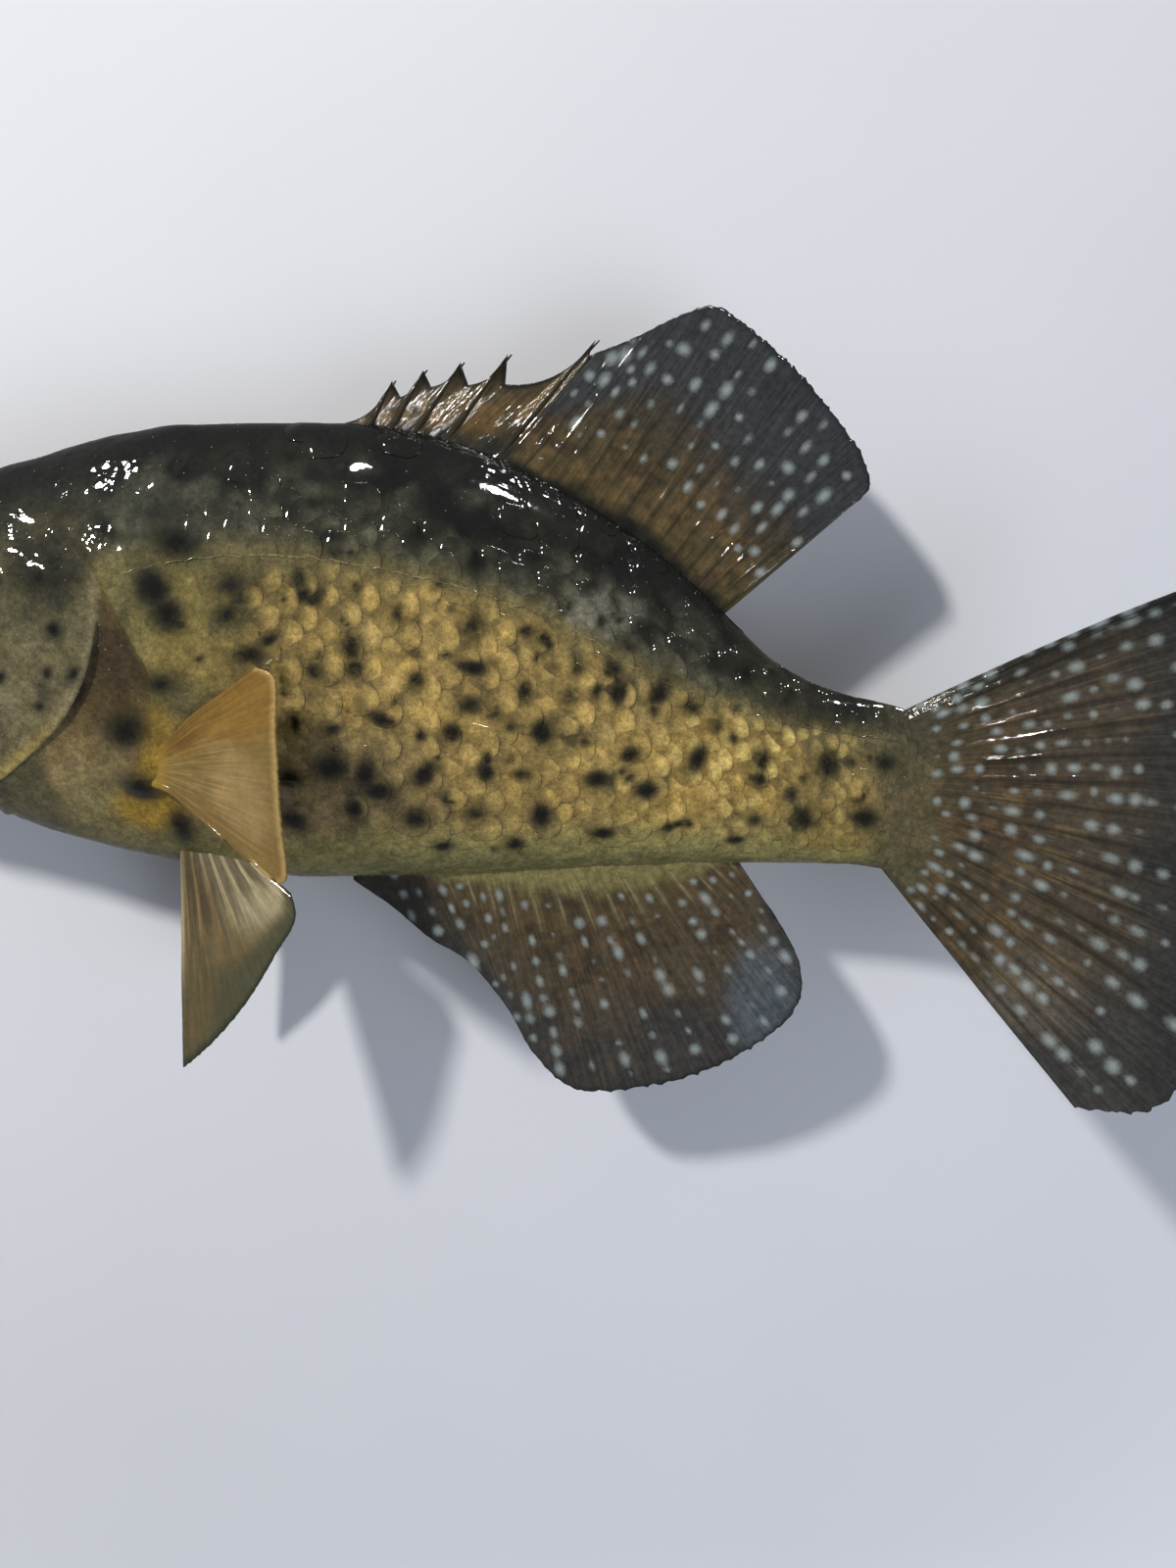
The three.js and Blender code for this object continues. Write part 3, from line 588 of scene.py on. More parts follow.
# ---- the skin ----
# The rear edge of the gill cover, rolled over the gap behind it: distance out from the edge before, and
# then after, with the height there as a share of the cover's lift.
FOLD_FROM = (-6, -3, -1.6, -0.9, -0.3, 0.3, 0.9, 1.6, 2.4, 3.4, 6)
FOLD_TO = (-6, -3, -1.2, -0.4, 0.2, 0.3, -0.2, 0, 1, 2.8, 6)
FOLD_HEIGHT = (1, 1, 1.05, 1.02, 0.84, 0.5, 0.1, -0.06, -0.04, 0, 0)


def eye_place(side):
    """Centre of an eye ball, and its three half sizes, in millimetres."""
    low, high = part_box("eye_left" if side == LEFT else "eye_right")
    return np.array((low + high) / 2) / MM, np.array((high - low) / 2) / MM


def set_sockets(points, side):
    """Brings the skin to the rim of each eye, and sinks it behind the eye."""
    centre, half = eye_place(LEFT)
    x, z = points[:, 0], points[:, 2]
    off = side * (points[:, 1] + midline(x))
    from_eye = np.hypot(x - centre[0], z - centre[2])
    reach = -centre[1] - float(midline(centre[0]))
    rim = reach + half[1] * np.sqrt(np.clip(1 - (from_eye / half[0]) ** 2, 0.12, 1))
    lid = 0.75 * bump(from_eye - half[0] - 0.4, 1.3)
    wanted = rim * 0.72 + off * 0.28 + lid
    wanted = np.where(from_eye < half[0] - 0.7, reach - 1.5, wanted)
    hold = ease(from_eye, half[0] + 7, half[0] - 0.5) * ease(off, 0.5, 4.5)
    points[:, 1] += side * hold * (wanted - off)


def head_relief(points, normal):
    """Sculpts the gill cover, cheek, jaws and shoulder into the front of the body. Each form is a height
    in millimetres times a soft line or patch."""
    x, z = points[:, 0], points[:, 2]
    off = np.abs(points[:, 1] + midline(x))
    height = np.zeros(len(x))
    edge, share, away = off_line(COVER_EDGE, x, z)
    lift = (1.7 - 1.25 * ease(share, 0.53, 0.66)) * ease(x, -134, -74)
    roll = ease(share, 0.41, 0.5) * ease(lift, 0, 0.5)
    inside = lift * (roll + (1 - roll) * ease(edge, 0, 8))
    rolled = np.where(edge > 6, 1, np.interp(-edge, FOLD_FROM, FOLD_HEIGHT))
    height += np.where(edge > 0, inside, lift * roll) * np.where(edge > -6, rolled, 0)
    out = np.stack([away[:, 0], np.zeros(len(x)), away[:, 1]], 1)
    out -= normal * np.sum(out * normal, 1)[:, None]
    shift = np.where(np.abs(edge) < 6, np.interp(-edge, FOLD_FROM, FOLD_TO) + edge, 0) * roll
    shift *= ease(off, 1, 5)
    # cheek, cover seams and the folds under the throat
    cheek, along, _ = off_line(CHEEK_RIDGE, x, z)
    ends = ease(along, 0, 0.12) * ease(along, 1, 0.9)
    height += ends * (0.8 * bump(cheek - 1.3, 1.5) - 0.75 * bump(cheek + 0.7, 0.8))
    height += ends * 0.25 * bump(cheek + 0.2, 0.5) * np.sin(along * 140) * ease(along, 0.5, 0.75)
    seam, along, _ = off_line(LOWER_COVER_SEAM, x, z)
    height -= 0.4 * bump(seam, 0.6) * ease(along, 0, 0.2) * ease(along, 1, 0.8)
    throat = ease(edge, -0.6, -2) * ease(edge, -13, -9) * ease(z, -20, -27) * ease(x, -158, -148)
    height += 0.4 * throat * np.cos(edge * 2 * np.pi / 2.7) * ease(x, -98, -110)
    height -= 1.3 * bump(off, 1.4) * ease(x, -78, -90) * ease(x, -160, -150) * ease(z, -10, -25)
    # mouth, lips and the plate over the upper jaw
    gape, _, _ = off_line(MOUTH, x, z)
    lip, _, _ = off_line(LIP_PLATE, x, z)
    jaw = ease(x, -143.5, -147.5)
    height += jaw * (0.55 * bump(np.abs(gape) - 1.7, 1.2) - 1.9 * bump(gape, 0.75))
    height += jaw * (0.55 * bump(gape - 2.1, 1.4) - 0.45 * bump(gape - 4.6, 0.9)) * ease(x, -146, -154)
    height += jaw * 0.75 * ease(lip, -0.4, 0.5) * ease(gape, 0.3, -0.7)
    height -= 0.55 * jaw * bump(lip + 0.5, 0.6)
    height += 0.35 * jaw * bump(lip - 3.4, 1) * ease(x, -150, -156)
    for px, pz in NOSTRILS:
        hole = np.hypot(x - px, z - pz)
        height += 0.4 * bump(hole - 1.5, 0.6) - 1.4 * bump(hole, 0.85)
    for px, pz in JAW_PORES:
        height -= 0.7 * bump(np.hypot(x - px, z - pz), 0.6)
    height -= 0.5 * bump(np.hypot((x + 148) / 1.5, z - 0.2) - 3.6, 0.8) * ease(z, 1, -2)
    height += 0.4 * bump(off - 4.2, 1.3) * ease(z, 10, 18) * ease(x, -120, -130) * ease(x, -178, -170)
    # the raised edge of the shoulder behind the gill membrane
    ahead, along, _ = off_line(SHOULDER_EDGE, x, z)
    ends = ease(along, 0.08, 0.25) * ease(along, 0.7, 0.5)
    height += ends * (1.0 * ease(ahead, 0.8, -0.9) * ease(ahead, -22, -5) + 0.35 * bump(ahead + 1.6, 1))
    height -= (0.7 * ends * bump(ahead - 1, 1.1)
               + 0.4 * ease(edge, 0, -4) * ease(ahead, -1, 2) * ease(off, 2, 6))
    height += 2.4 * near(x, z, -65, -26.5, 9, 8)
    fine = cloud(points, 6.5, 21) * 0.22 + cloud(points, 2.4, 22) * 0.07
    height += fine * ease(x, -46, -60)
    return normal * (height * ease(x, -183.5, -180))[:, None] + out * shift[:, None]


def skin_stations(fine, coarse):
    """Places of the rings along the body: close together on the head, wider under the scales."""
    found = [SNOUT_X]
    while found[-1] < TAIL_BASE_X - coarse:
        found.append(found[-1] + fine + (coarse - fine) * float(ease(found[-1], -54, -20)))
    return np.array([*found, TAIL_BASE_X])


def make_skin(sizes):
    xs = skin_stations(sizes.head_step / MM, sizes.trunk_step / MM)
    turns = np.linspace(0, 2, sizes.around + 1)
    x, t = (grid.ravel() for grid in np.meshgrid(xs, turns, indexing="ij"))
    points, normal = skin_point(x, t, LEFT), skin_normal(x, t, LEFT)
    flat = points.copy()
    for side in (LEFT, RIGHT):
        chosen = (x < -120) & ((t < 1) if side == LEFT else (t > 1))
        part = points[chosen]
        set_sockets(part, side)
        points[chosen] = part
    front = x < FRONT_END
    points[front] += head_relief(points[front], normal[front])
    depth = sizes.coat_depth / MM
    sunk = 0.7 * ease(x, -60, -52) + 0.3 * ease(x, -50, -32)
    points -= normal * (depth * sunk * ease(x, 121, 110))[:, None]
    shape = (len(xs), len(turns))
    points = points.reshape(*shape, 3)
    points[:, -1] = points[:, 0]
    for end, step in ((0, -0.3), (-1, 0.3)):
        points[end] = points[end].mean(0) + (step, 0, 0)
    skin = sheet("skin", points, paint=body_paint(flat).reshape(*shape, 3),
                 speckle=speckle(flat).reshape(shape), wet=wetness(flat).reshape(shape))
    return finish_piece(skin, painted_skin(), "lacquered_skin", "head", "upper_jaw", "lower_jaw",
                        "gill_cover_left", "gill_cover_right", "trunk", "tail_stalk")


# ---- the scales ----
SCALE_SIZE = line(((-60, 1), (36, 1), (78, 0.84), (112, 0.64), (124, 0.58)))  # smaller to the tail
SCALE_ALONG = np.array((0, 0.3, 0.52, 0.68, 0.8, 0.89, 0.95, 0.975, 1))        # rows, close at the rim
SCALE_ACROSS = np.sin(np.radians(np.linspace(-80, 80, 11)))


def scale_plate(pitch, height, thickness):
    """One scale as vertices (along, across, height), its faces, and two values for each vertex: how near
    its rear rim it is, and how far along it is."""
    half, rear = height * 0.56, pitch * 0.95
    length = 2 * pitch + 1.6
    s, w = np.meshgrid(SCALE_ALONG, SCALE_ACROSS, indexing="ij")
    rear_line = rear * (1 - np.abs(w) ** 2.3) ** 0.5
    front_line = rear - length + 0.2 * length * w ** 2
    along = front_line + (rear_line - front_line) * s
    top = 0.2 * s + 0.1 * np.sin(np.pi * s) * (1 - w ** 2) - 0.1 * s * w ** 2 - 0.04 * (s == 1)
    upper = np.stack([along, w * half, top], -1)
    lower = upper[[0, -1]].copy()
    lower[..., 2] -= thickness
    rows, columns = s.shape
    first = rows * columns
    faces = []
    for i in range(rows - 1):
        for j in range(columns - 1):
            a = i * columns + j
            faces.append((a, a + columns, a + columns + 1, a + 1))
    last = (rows - 1) * columns
    for j in range(columns - 1):
        front_low, rear_low = first + j, first + columns + j
        faces.append((front_low, front_low + 1, rear_low + 1, rear_low))
        faces.append((j, j + 1, front_low + 1, front_low))
        faces.append((last + j + 1, last + j, rear_low, rear_low + 1))
    for j, turn in ((0, 1), (columns - 1, -1)):
        side = [i * columns + j for i in range(rows)] + [first + columns + j, first + j]
        faces.append(tuple(side[::-turn]))
    vertices = np.vstack([upper.reshape(-1, 3), lower.reshape(-1, 3)])
    rim = np.r_[(s >= 0.99).astype(float).ravel(), np.zeros(columns), np.ones(columns)]
    return vertices, faces, rim, np.r_[s.ravel(), np.zeros(columns), np.ones(columns)]


def scale_places(pitch, height, rng):
    """Station, girth share, size, height, turn and share of full relief of each scale on one flank."""
    found = []
    x, odd = -57.0, 0
    while x < 122:
        size = float(SCALE_SIZE(x))
        round_length, low_part = girth(x)
        reach = int(round_length / (height * size)) + 1
        for row in range(-reach, reach + 1):
            s = (row + 0.5 * odd) * height * size + rng.normal(0, 0.45)
            t = (low_part + s) / round_length
            if 0.012 < t < 0.988:
                z = float(skin_point(np.array([x]), np.array([t]), LEFT)[0, 2])
                shown = ease(x + 0.16 * (z - 10), -54, -34) * ease(x, 122, 112)
                shown *= 1 - 0.87 * ease(z - lateral_line(x), 2, 13)
                shown *= 1 - 0.5 * ease(t, 0.2, 0.07)
                worn = cloud(np.array([[x, 0.0, z]]), 9, 33)[0]
                shown *= (1 - 0.5 * ease(worn, 0, 0.6)) * rng.uniform(0.8, 1)
                found.append((x + rng.normal(0, 0.4), t, size * rng.uniform(0.9, 1.09),
                              rng.uniform(-0.04, 0.05), rng.normal(0, 0.11), float(shown)))
        x += pitch * size
        odd = 1 - odd
    return np.array([place for place in found if place[5] > 0.12])


def make_scales(side, sizes):
    pitch, height = sizes.pitch / MM, sizes.height / MM
    rng = np.random.default_rng(31 if side == LEFT else 32)
    plate, faces, rim, along = scale_plate(pitch, height, sizes.thickness / MM)
    places = scale_places(pitch, height, rng)
    cx, ct, size, lift, turn, shown = (places[:, k:k + 1] for k in range(6))
    a = (plate[None, :, 0] * np.cos(turn) - plate[None, :, 1] * np.sin(turn)) * size
    b = (plate[None, :, 1] * np.cos(turn) + plate[None, :, 0] * np.sin(turn)) * size
    x = np.clip(cx + a, SNOUT_X, TAIL_BASE_X - 0.5)
    round_length, _ = girth(x)
    middle_length, _ = girth(cx)
    t = ct + b / np.maximum(round_length, 0.75 * middle_length)
    x, t = x.ravel(), t.ravel()
    flat = skin_point(x, t, side)
    normal = skin_normal(x, t, side)
    rise = (plate[None, :, 2] + lift * along[None]) * shown - (1 - shown) * 0.12
    points = flat + normal * (rise.ravel() - 0.24)[:, None]
    colour = scale_paint(body_paint(flat), flat, places, plate, along, height, rng)
    count = len(places)
    width = len(plate)
    all_faces = [tuple(width * k + v for v in face) for k in range(count) for face in faces]
    mesh = bpy.data.meshes.new("scales")
    mesh.from_pydata((points * MM).tolist(), [], all_faces)
    piece = bpy.data.objects.new("scales_left" if side == LEFT else "scales_right", mesh)
    mesh.name = piece.name
    bpy.context.collection.objects.link(piece)
    set_values(mesh, "paint", "FLOAT_COLOR", colour)
    set_values(mesh, "speckle", "FLOAT", speckle(flat))
    set_values(mesh, "wet", "FLOAT", wetness(flat))
    set_values(mesh, "rim", "FLOAT", (np.tile(rim, (count, 1)) * shown).ravel())
    bake_map(mesh, places, plate, side)
    if side == RIGHT:
        mesh.flip_normals()
    return finish_piece(piece, painted_skin("rim"), "lacquered_skin")


def scale_paint(colour, flat, places, plate, along, height, rng):
    """Each scale has a golden or pale middle behind, partly painted highlight, and smoke where the next ones
    begin, partly painted shade under the overlap, and its own tint.
    """
    x, z = flat[:, 0], flat[:, 2]
    count = len(places)
    across = np.abs(plate[:, 1]) / (height * 0.56)
    # pale middles, partly a painted highlight of each domed scale, and smoke, partly painted shade under the
    # overlap
    pale_middle_and_highlight = np.tile(ease(np.hypot((along - 0.81) / 0.235, across / 0.9), 1.15, 0.38), (count, 1))
    tone = cloud(flat, 9, 61).reshape(count, -1)
    strength = np.clip(rng.normal(0.6, 0.22, (count, 1)) + 0.55 * tone, 0, 1)
    smoke_and_overlap_shade = np.clip(rng.normal(0.62, 0.2, (count, 1)), 0, 1) * (1 - pale_middle_and_highlight)
    dull = np.clip(rng.normal(-0.1, 0.25, (count, 1)), 0, 1) * np.ones(along.shape)
    begun = ease(x + 0.16 * (z - 10), -52, -26)
    below = ease(z - lateral_line(x), 2, -6) * ease(z, -50, -40) * ease(x, 114, 98) * begun
    front = ease(x, 20, -10) * ease(z, -14, -26)
    colour = layer(colour, [
        ("CDAF66", (pale_middle_and_highlight * strength).ravel() * below * (0.8 - 0.6 * front) * (1 - 0.3 * ease(x, 0, -36))),
        ("D2BC72", (pale_middle_and_highlight * strength).ravel() * below * ease(x, 38, 80)),
        ("5C4D2D", smoke_and_overlap_shade.ravel() * below * 0.5),
        ("65634A", dull.ravel() * below * 0.6),
    ])
    above = ease(z - lateral_line(x), -1, 4)
    colour = layer(colour, [("7F7C66", (pale_middle_and_highlight * strength).ravel() * above * begun * ease(back(x) - z, 10, 26)
                                       * 0.4)])
    return layer(colour, [("1B1C17", smoke_and_overlap_shade.ravel() * above * begun * 0.5)])


def bake_map(mesh, places, plate, side):
    """The OFBake map: each scale is a small patch at its root's place on the unwrapped flank."""
    patch = 0.003
    low, high = plate[:, :2].min(0), plate[:, :2].max(0)
    local = (plate[:, :2] - low) / (high - low) * patch
    u = 0.01 + 0.98 * (places[:, 0] - SNOUT_X) / (TAIL_BASE_X - SNOUT_X)
    v = 0.01 + 0.48 * places[:, 1] + (0.5 if side == RIGHT else 0)
    uv = (np.stack([u, v], 1)[:, None] + local[None]).reshape(-1, 2)
    corner = np.empty(len(mesh.loops), np.int32)
    mesh.loops.foreach_get("vertex_index", corner)
    mesh.uv_layers.new(name="OFBake").data.foreach_set("uv", uv[corner].astype(np.float32).ravel())


def make_lateral_line(side):
    """The row of raised, pale tubes along the flank, one to a scale."""
    ring = np.radians(np.arange(0, 360, 45))
    shares = (0, 0.12, 0.35, 0.65, 0.88, 1)
    swell = (0.3, 0.8, 1, 0.75, 0.85, 0.25)
    rings, faces = [], []
    rng = np.random.default_rng(41 if side == LEFT else 42)
    x = -66.0
    while x < 119:
        length = 4.6 * float(SCALE_SIZE(x)) * rng.uniform(0.92, 1.04)
        tilt = rng.normal(0, 0.12)
        at = x + length * np.array(shares)
        z = lateral_line(at) + 3 * tilt * (np.array(shares) - 0.5) + rng.normal(0, 0.14, len(shares))
        t = share_at(at, z)
        base, normal = skin_point(at, t, side), skin_normal(at, t, side)
        if x < FRONT_END:
            base = base + head_relief(base.copy(), normal)
        up = np.cross(normal, np.gradient(base, axis=0))
        up /= np.linalg.norm(up, axis=1)[:, None]
        wide, tall = (half * np.array(swell) * rng.uniform(0.6, 1.15) for half in (0.2, 0.13))
        start = len(rings) * len(ring)
        for k in range(len(shares)):
            around = (up[k] * wide[k] * np.cos(ring)[:, None] + normal[k] * tall[k] * np.sin(ring)[:, None])
            rings.append(base[k] + around)
        n = len(ring)
        for k in range(len(shares) - 1):
            for j in range(n):
                a, b = start + k * n + j, start + k * n + (j + 1) % n
                faces.append((a, b, b + n, a + n))
        faces.append(tuple(start + j for j in reversed(range(n))))
        faces.append(tuple(start + (len(shares) - 1) * n + j for j in range(n)))
        x += length * 1.02
    points = np.vstack(rings)
    mesh = bpy.data.meshes.new("lateral_line")
    mesh.from_pydata((points * MM).tolist(), [], faces)
    piece = bpy.data.objects.new("lateral_line_left" if side == LEFT else "lateral_line_right", mesh)
    mesh.name = piece.name
    bpy.context.collection.objects.link(piece)
    colour = np.tile(np.array(srgb("8F8560")[:3]), (len(points), 1))
    colour = layer(colour, [
        ("756D4D", ease(cloud(points, 6, 9), -0.2, 0.5)),
        ("5F5B45", ease(points[:, 0], 60, 100)),
    ])
    set_values(mesh, "paint", "FLOAT_COLOR", colour)
    set_values(mesh, "speckle", "FLOAT", speckle(points) - 0.3)
    set_values(mesh, "wet", "FLOAT", wetness(points))
    weld(piece, 0.000001)
    return finish_piece(piece, painted_skin(), "lacquered_skin")


# ---- the fins ----
# Each fin runs from a root to a rim, both as (x, z, height off the wall), with its rays between them.
SOFT_DORSAL = dict(
    rays=15, bow=0,
    root=((17.6, 45, 35), (33.6, 38, 35), (53, 26, 35), (66, 14, 36), (74.5, 8, 37)),
    rim=((42.9, 71.6, 35), (53, 75.4, 35), (64, 80.6, 35), (72.5, 83, 35), (79.3, 79.2, 35.5),
         (87.1, 73.2, 36), (95.6, 65, 36.5), (103, 56.4, 37), (109.4, 47.5, 37.5), (111.2, 40.5, 38),
         (107.5, 36.4, 38)))
ANAL = dict(
    rays=18, bow=0,
    root=((-21, -54, 35.5), (3.7, -54, 36), (28, -53, 36), (54, -52, 37), (79, -51, 38)),
    rim=((-19, -59.5, 36), (-10, -66, 36), (0, -75, 36), (10, -81.5, 36), (20, -94, 36.5), (28, -108.5, 37),
         (38, -117.6, 37.5), (55, -117.6, 38), (72, -113, 39), (87.6, -104, 40), (97.4, -93, 41),
         (97.6, -81.5, 41), (89, -66, 40.5)))
TAIL = dict(
    rays=17, bow=3,
    root=((118, -14.6, 46.5), (121, -24, 47.5), (122.5, -35.5, 48), (120.5, -46, 47.5), (116.5, -54.4, 46)),
    rim=((171, 17.4, 77), (183, 18.8, 81), (189, 5, 83.5), (187, -18, 84), (183.4, -42, 83.5),
         (184.6, -68, 84), (182, -90, 83.5), (173.5, -103.4, 82), (158, -105.8, 76)))
PECTORAL = dict(
    rays=11, bow=1.5, neck=0.3,
    root=((-68, -23.4, 53), (-67.7, -25.2, 53), (-67, -27, 53), (-65.8, -28.8, 53)),
    rim=((-33.3, -0.2, 68), (-28.9, -2.2, 70), (-28.6, -13, 73), (-28.1, -25, 75), (-27.7, -37, 76),
         (-27.6, -48.3, 77), (-35.5, -44.6, 72)))
PELVIC = dict(
    rays=7, bow=0,
    root=((-61.5, -47, 42), (-57.5, -48.2, 41.5), (-52, -49.4, 41), (-46, -50.6, 40)),
    rim=((-58.2, -100, 62), (-50.5, -93.4, 60.5), (-42.6, -84.2, 57), (-36.4, -74, 53),
         (-31.6, -65.6, 49.5), (-33, -59.6, 47)))
FAR_PECTORAL = dict(flare=0.3, fold=1, shift=0)
FAR_PELVIC = dict(flare=0.45, fold=0.82, shift=-4)

SPINES = dict(
    roots=((-14, 54), (-8.5, 54), (-3.3, 53), (3.8, 51), (15.7, 47)),
    tips=((-5.3, 65.3), (2.3, 67.8), (11.3, 69.6), (22.7, 71.5), (43.9, 74.9)),
    notches=((-3.4, 61.6), (4.1, 64), (13.1, 64.4), (22, 64.6), (42.4, 71.6)))

# Rows of pale spots: where they start and end from root to rim, their spacing and radius in millimetres.
DORSAL_SPOTS = dict(start=0.3, end=0.96, pitch=6.0, radius=1.4, keep=0.85, first=1)
ANAL_SPOTS = dict(start=0.16, end=0.96, pitch=5.4, radius=1.45, keep=0.88, first=2)
TAIL_SPOTS = dict(start=0.08, end=0.96, pitch=5.2, radius=1.5, keep=0.85, first=0)


def far_side(fin, flare, fold, shift):
    """The near fin mirrored to the wall side, folded along its root and closer to the body."""
    x0, _, h0 = fin["root"][0]
    middle = float(midline(-60.0)) * 2

    def moved(points):
        return tuple((x0 + shift + fold * (x - x0), z, middle - h0 - flare * (h - h0))
                     for x, z, h in points)

    return dict(rays=fin["rays"], bow=-fin["bow"], neck=fin.get("neck", 0),
                root=moved(fin["root"]), rim=moved(fin["rim"]))


def fin_frame(fin, columns, rows, ragged=0.0, seed=0):
    """The middle surface of a fin, its normals, and u along it and v from root to rim."""
    rng = np.random.default_rng(seed)
    root = curve(fin["root"], columns)
    rim = curve(fin["rim"], columns, even=True)
    u, v = np.meshgrid(np.linspace(0, 1, columns), np.linspace(0, 1, rows), indexing="ij")
    reach = v * (1 + ragged * (ray_ridge(fin["rays"], u, v)[0] - 0.6) * ease(v, 0.7, 1))
    reach -= 0.007 * rng.random(columns)[:, None] * ease(v, 0.8, 1)
    flat = root[:, None] * (1 - reach[..., None]) + rim[:, None] * reach[..., None]
    neck = 1 - fin.get("neck", 0) * ease(v, 0.5, 0.1) * ease(v, 0, 0.08)
    flat = flat.mean(0) + (flat - flat.mean(0)) * neck[..., None]
    points = np.stack([flat[..., 0], -flat[..., 2] + 4 * fin["bow"] * v * (1 - v), flat[..., 1]], -1)
    normal = np.cross(np.gradient(points, axis=0), np.gradient(points, axis=1))
    normal /= np.maximum(np.linalg.norm(normal, axis=-1, keepdims=True), 1e-9)
    if normal[columns // 2, rows // 2, 1] > 0:
        normal = -normal
    return points, normal, u, v


def ray_ridge(rays, u, v):
    """How near each place is to a ray, from 0 to 1. A ray forks on its way to the rim, and again."""
    place = u * rays - 0.5
    offset = place - np.round(place)
    fork = 0.2 * ease(v, 0.3, 0.75)
    wide = 0.1 + 0.05 * (1 - v)
    ridge = np.maximum(bump(offset - fork, wide), bump(offset + fork, wide))
    return ridge, offset


def fin_spots(points, rays, rows, seed):
    """How deep inside a pale spot each place is. Spots stand in rows between the rays."""
    rng = np.random.default_rng(seed)
    columns = len(points)
    depth = np.full(points.shape[:2], -1.0)
    for gap in range(rows["first"], rays):
        column = int(np.clip(round(gap / rays * (columns - 1)), 1, columns - 2))
        path = points[column]
        run = np.r_[0, np.cumsum(np.linalg.norm(np.diff(path, axis=0), axis=1))]
        at = rows["start"] * run[-1] + rows["pitch"] * rng.uniform(0.1, 0.9)
        while at < rows["end"] * run[-1]:
            if rng.random() < rows["keep"]:
                centre = np.array([np.interp(at, run, path[:, k]) for k in range(3)])
                off_row = rng.normal(0, 0.45, 3) * (1, 0.2, 1)
                radius = rows["radius"] * rng.uniform(0.75, 1.25) * (0.75 + 0.25 * at / run[-1])
                long, peak = rng.uniform(0.9, 1.55), rng.choice((1, 0.75, 0.5), p=(0.5, 0.3, 0.2))
                ahead = np.array([np.interp(at + 1, run, path[:, k]) for k in range(3)])
                ahead = (ahead - centre) / np.linalg.norm(ahead - centre)
                span = points - centre - off_row
                along = span @ ahead
                beside = np.sqrt(np.maximum(np.sum(span ** 2, -1) - along ** 2, 0))
                depth = np.maximum(depth, peak - np.hypot(along / long, beside * long ** 0.5) / radius)
            at += rows["pitch"] * rng.uniform(0.75, 1.3)
    return depth


def close_sheet(middle, normal, half):
    """A closed ring of rows for each column: up one side of a sheet, round its rim and down the other."""
    near_side, far = middle + normal * half[..., None], middle - normal * half[..., None]
    ring = np.concatenate([near_side, far[:, ::-1], near_side[:, :1]], 1)
    for end in (0, -1):
        ring[end] = np.concatenate([middle[end], middle[end, ::-1], middle[end, :1]])
    return ring


def both_sides(values):
    """The same values for the rows of close_sheet."""
    return np.concatenate([values, values[:, ::-1], values[:, :1]], 1)


def make_fin(name, fin, sizes, colours, material, node, spots=None, fleshy=1.0, relief=0.34, rows=60,
             ragged=0.006, seed=0):
    """One fin: a web that swells over each ray and is fleshy at its root, in millimetres."""
    middle, normal, u, v = fin_frame(fin, fin["rays"] * 10 + 1, rows, ragged, seed)
    wave = cloud(middle.reshape(-1, 3), 11, seed + 3).reshape(u.shape)
    middle = middle + normal * (0.45 * wave * ease(v, 0.1, 0.5))[..., None]
    ridge, _ = ray_ridge(fin["rays"], u, v)
    root, rim = sizes.root_thickness / MM, sizes.rim_thickness / MM
    web = root + (rim - root) * v ** 0.6
    half = web * (1 - relief + relief * (0.6 + (ridge - 0.6) * ease(v, 0.06, 0.28)) * (1 - 0.35 * v)) / 2
    lumps = 1 + 0.35 * cloud(middle.reshape(-1, 3), 3.2, seed + 5).reshape(u.shape)
    half += (fleshy * lumps * ease(v, 0.26, 0.05) * ease(v, -0.05, 0.05) * ease(u, -0.01, 0.07)
             * ease(u, 1.01, 0.93))
    points = close_sheet(middle, normal, half)
    flat = middle.reshape(-1, 3)
    paint = colours(u.ravel(), v.ravel(), flat, ridge.ravel()).reshape(*u.shape, 3)
    spot = np.full(u.shape, -1.0) if spots is None else fin_spots(middle, fin["rays"], spots, seed)
    piece = sheet(name, points, paint=both_sides(paint), spot=both_sides(spot),
                  across=both_sides(u * fin["rays"]), rise=both_sides(v * 4))
    return finish_piece(piece, material, "golden_fin" if name[0] == "p" else "dark_fin", node)


def dark_fin_paint(v, points, base, warm, middle, margin, warmth, edge):
    """A fin's colours from its root to its rim."""
    wisp, fog, grain = cloud(points, 5, 51), cloud(points, 16, 52), cloud(points, 2, 50)
    colour = np.tile(np.array(srgb(middle)[:3]), (len(v), 1))
    colour = layer(colour, [
        (base, ease(v + 0.1 * fog, 0.5, 0.05)),
        (warm, warmth * ease(0.6 * wisp + 0.5 * grain + 0.5 * fog, -0.15, 0.6) * ease(v, 0.75, 0.35)),
        ("24231D", 0.5 * ease(wisp - 0.5 * grain, 0.1, 0.7)),
    ])
    return layer(colour, [(margin, ease(v + 0.14 * fog + 0.06 * wisp, edge, edge + 0.3))])


def join_body(colour, v, points, reach):
    """Carries the body's own colours on to the root of a fin."""
    share = ease(v + 0.04 * cloud(points, 4, 49), reach, 0.45 * reach)[:, None]
    return colour + (body_paint(points) - colour) * share


def dorsal_paint(u, v, points, ridge):
    colour = dark_fin_paint(v, points, "504629", "655336", "453F31", "393B3D", 0.7, 0.42)
    x, z = points[:, 0], points[:, 2]
    colour = layer(colour, [
        ("33363A", 0.85 * ease(x + 0.35 * z + 7 * cloud(points, 12, 53), 88, 116)),
        ("1F1B14", 0.55 * ridge ** 2 * ease(v, 0.75, 0.45)),
        ("1B1C1E", 0.7 * ease(v, 0.975, 0.995)),
    ])
    return join_body(colour, v, points, 0.12)


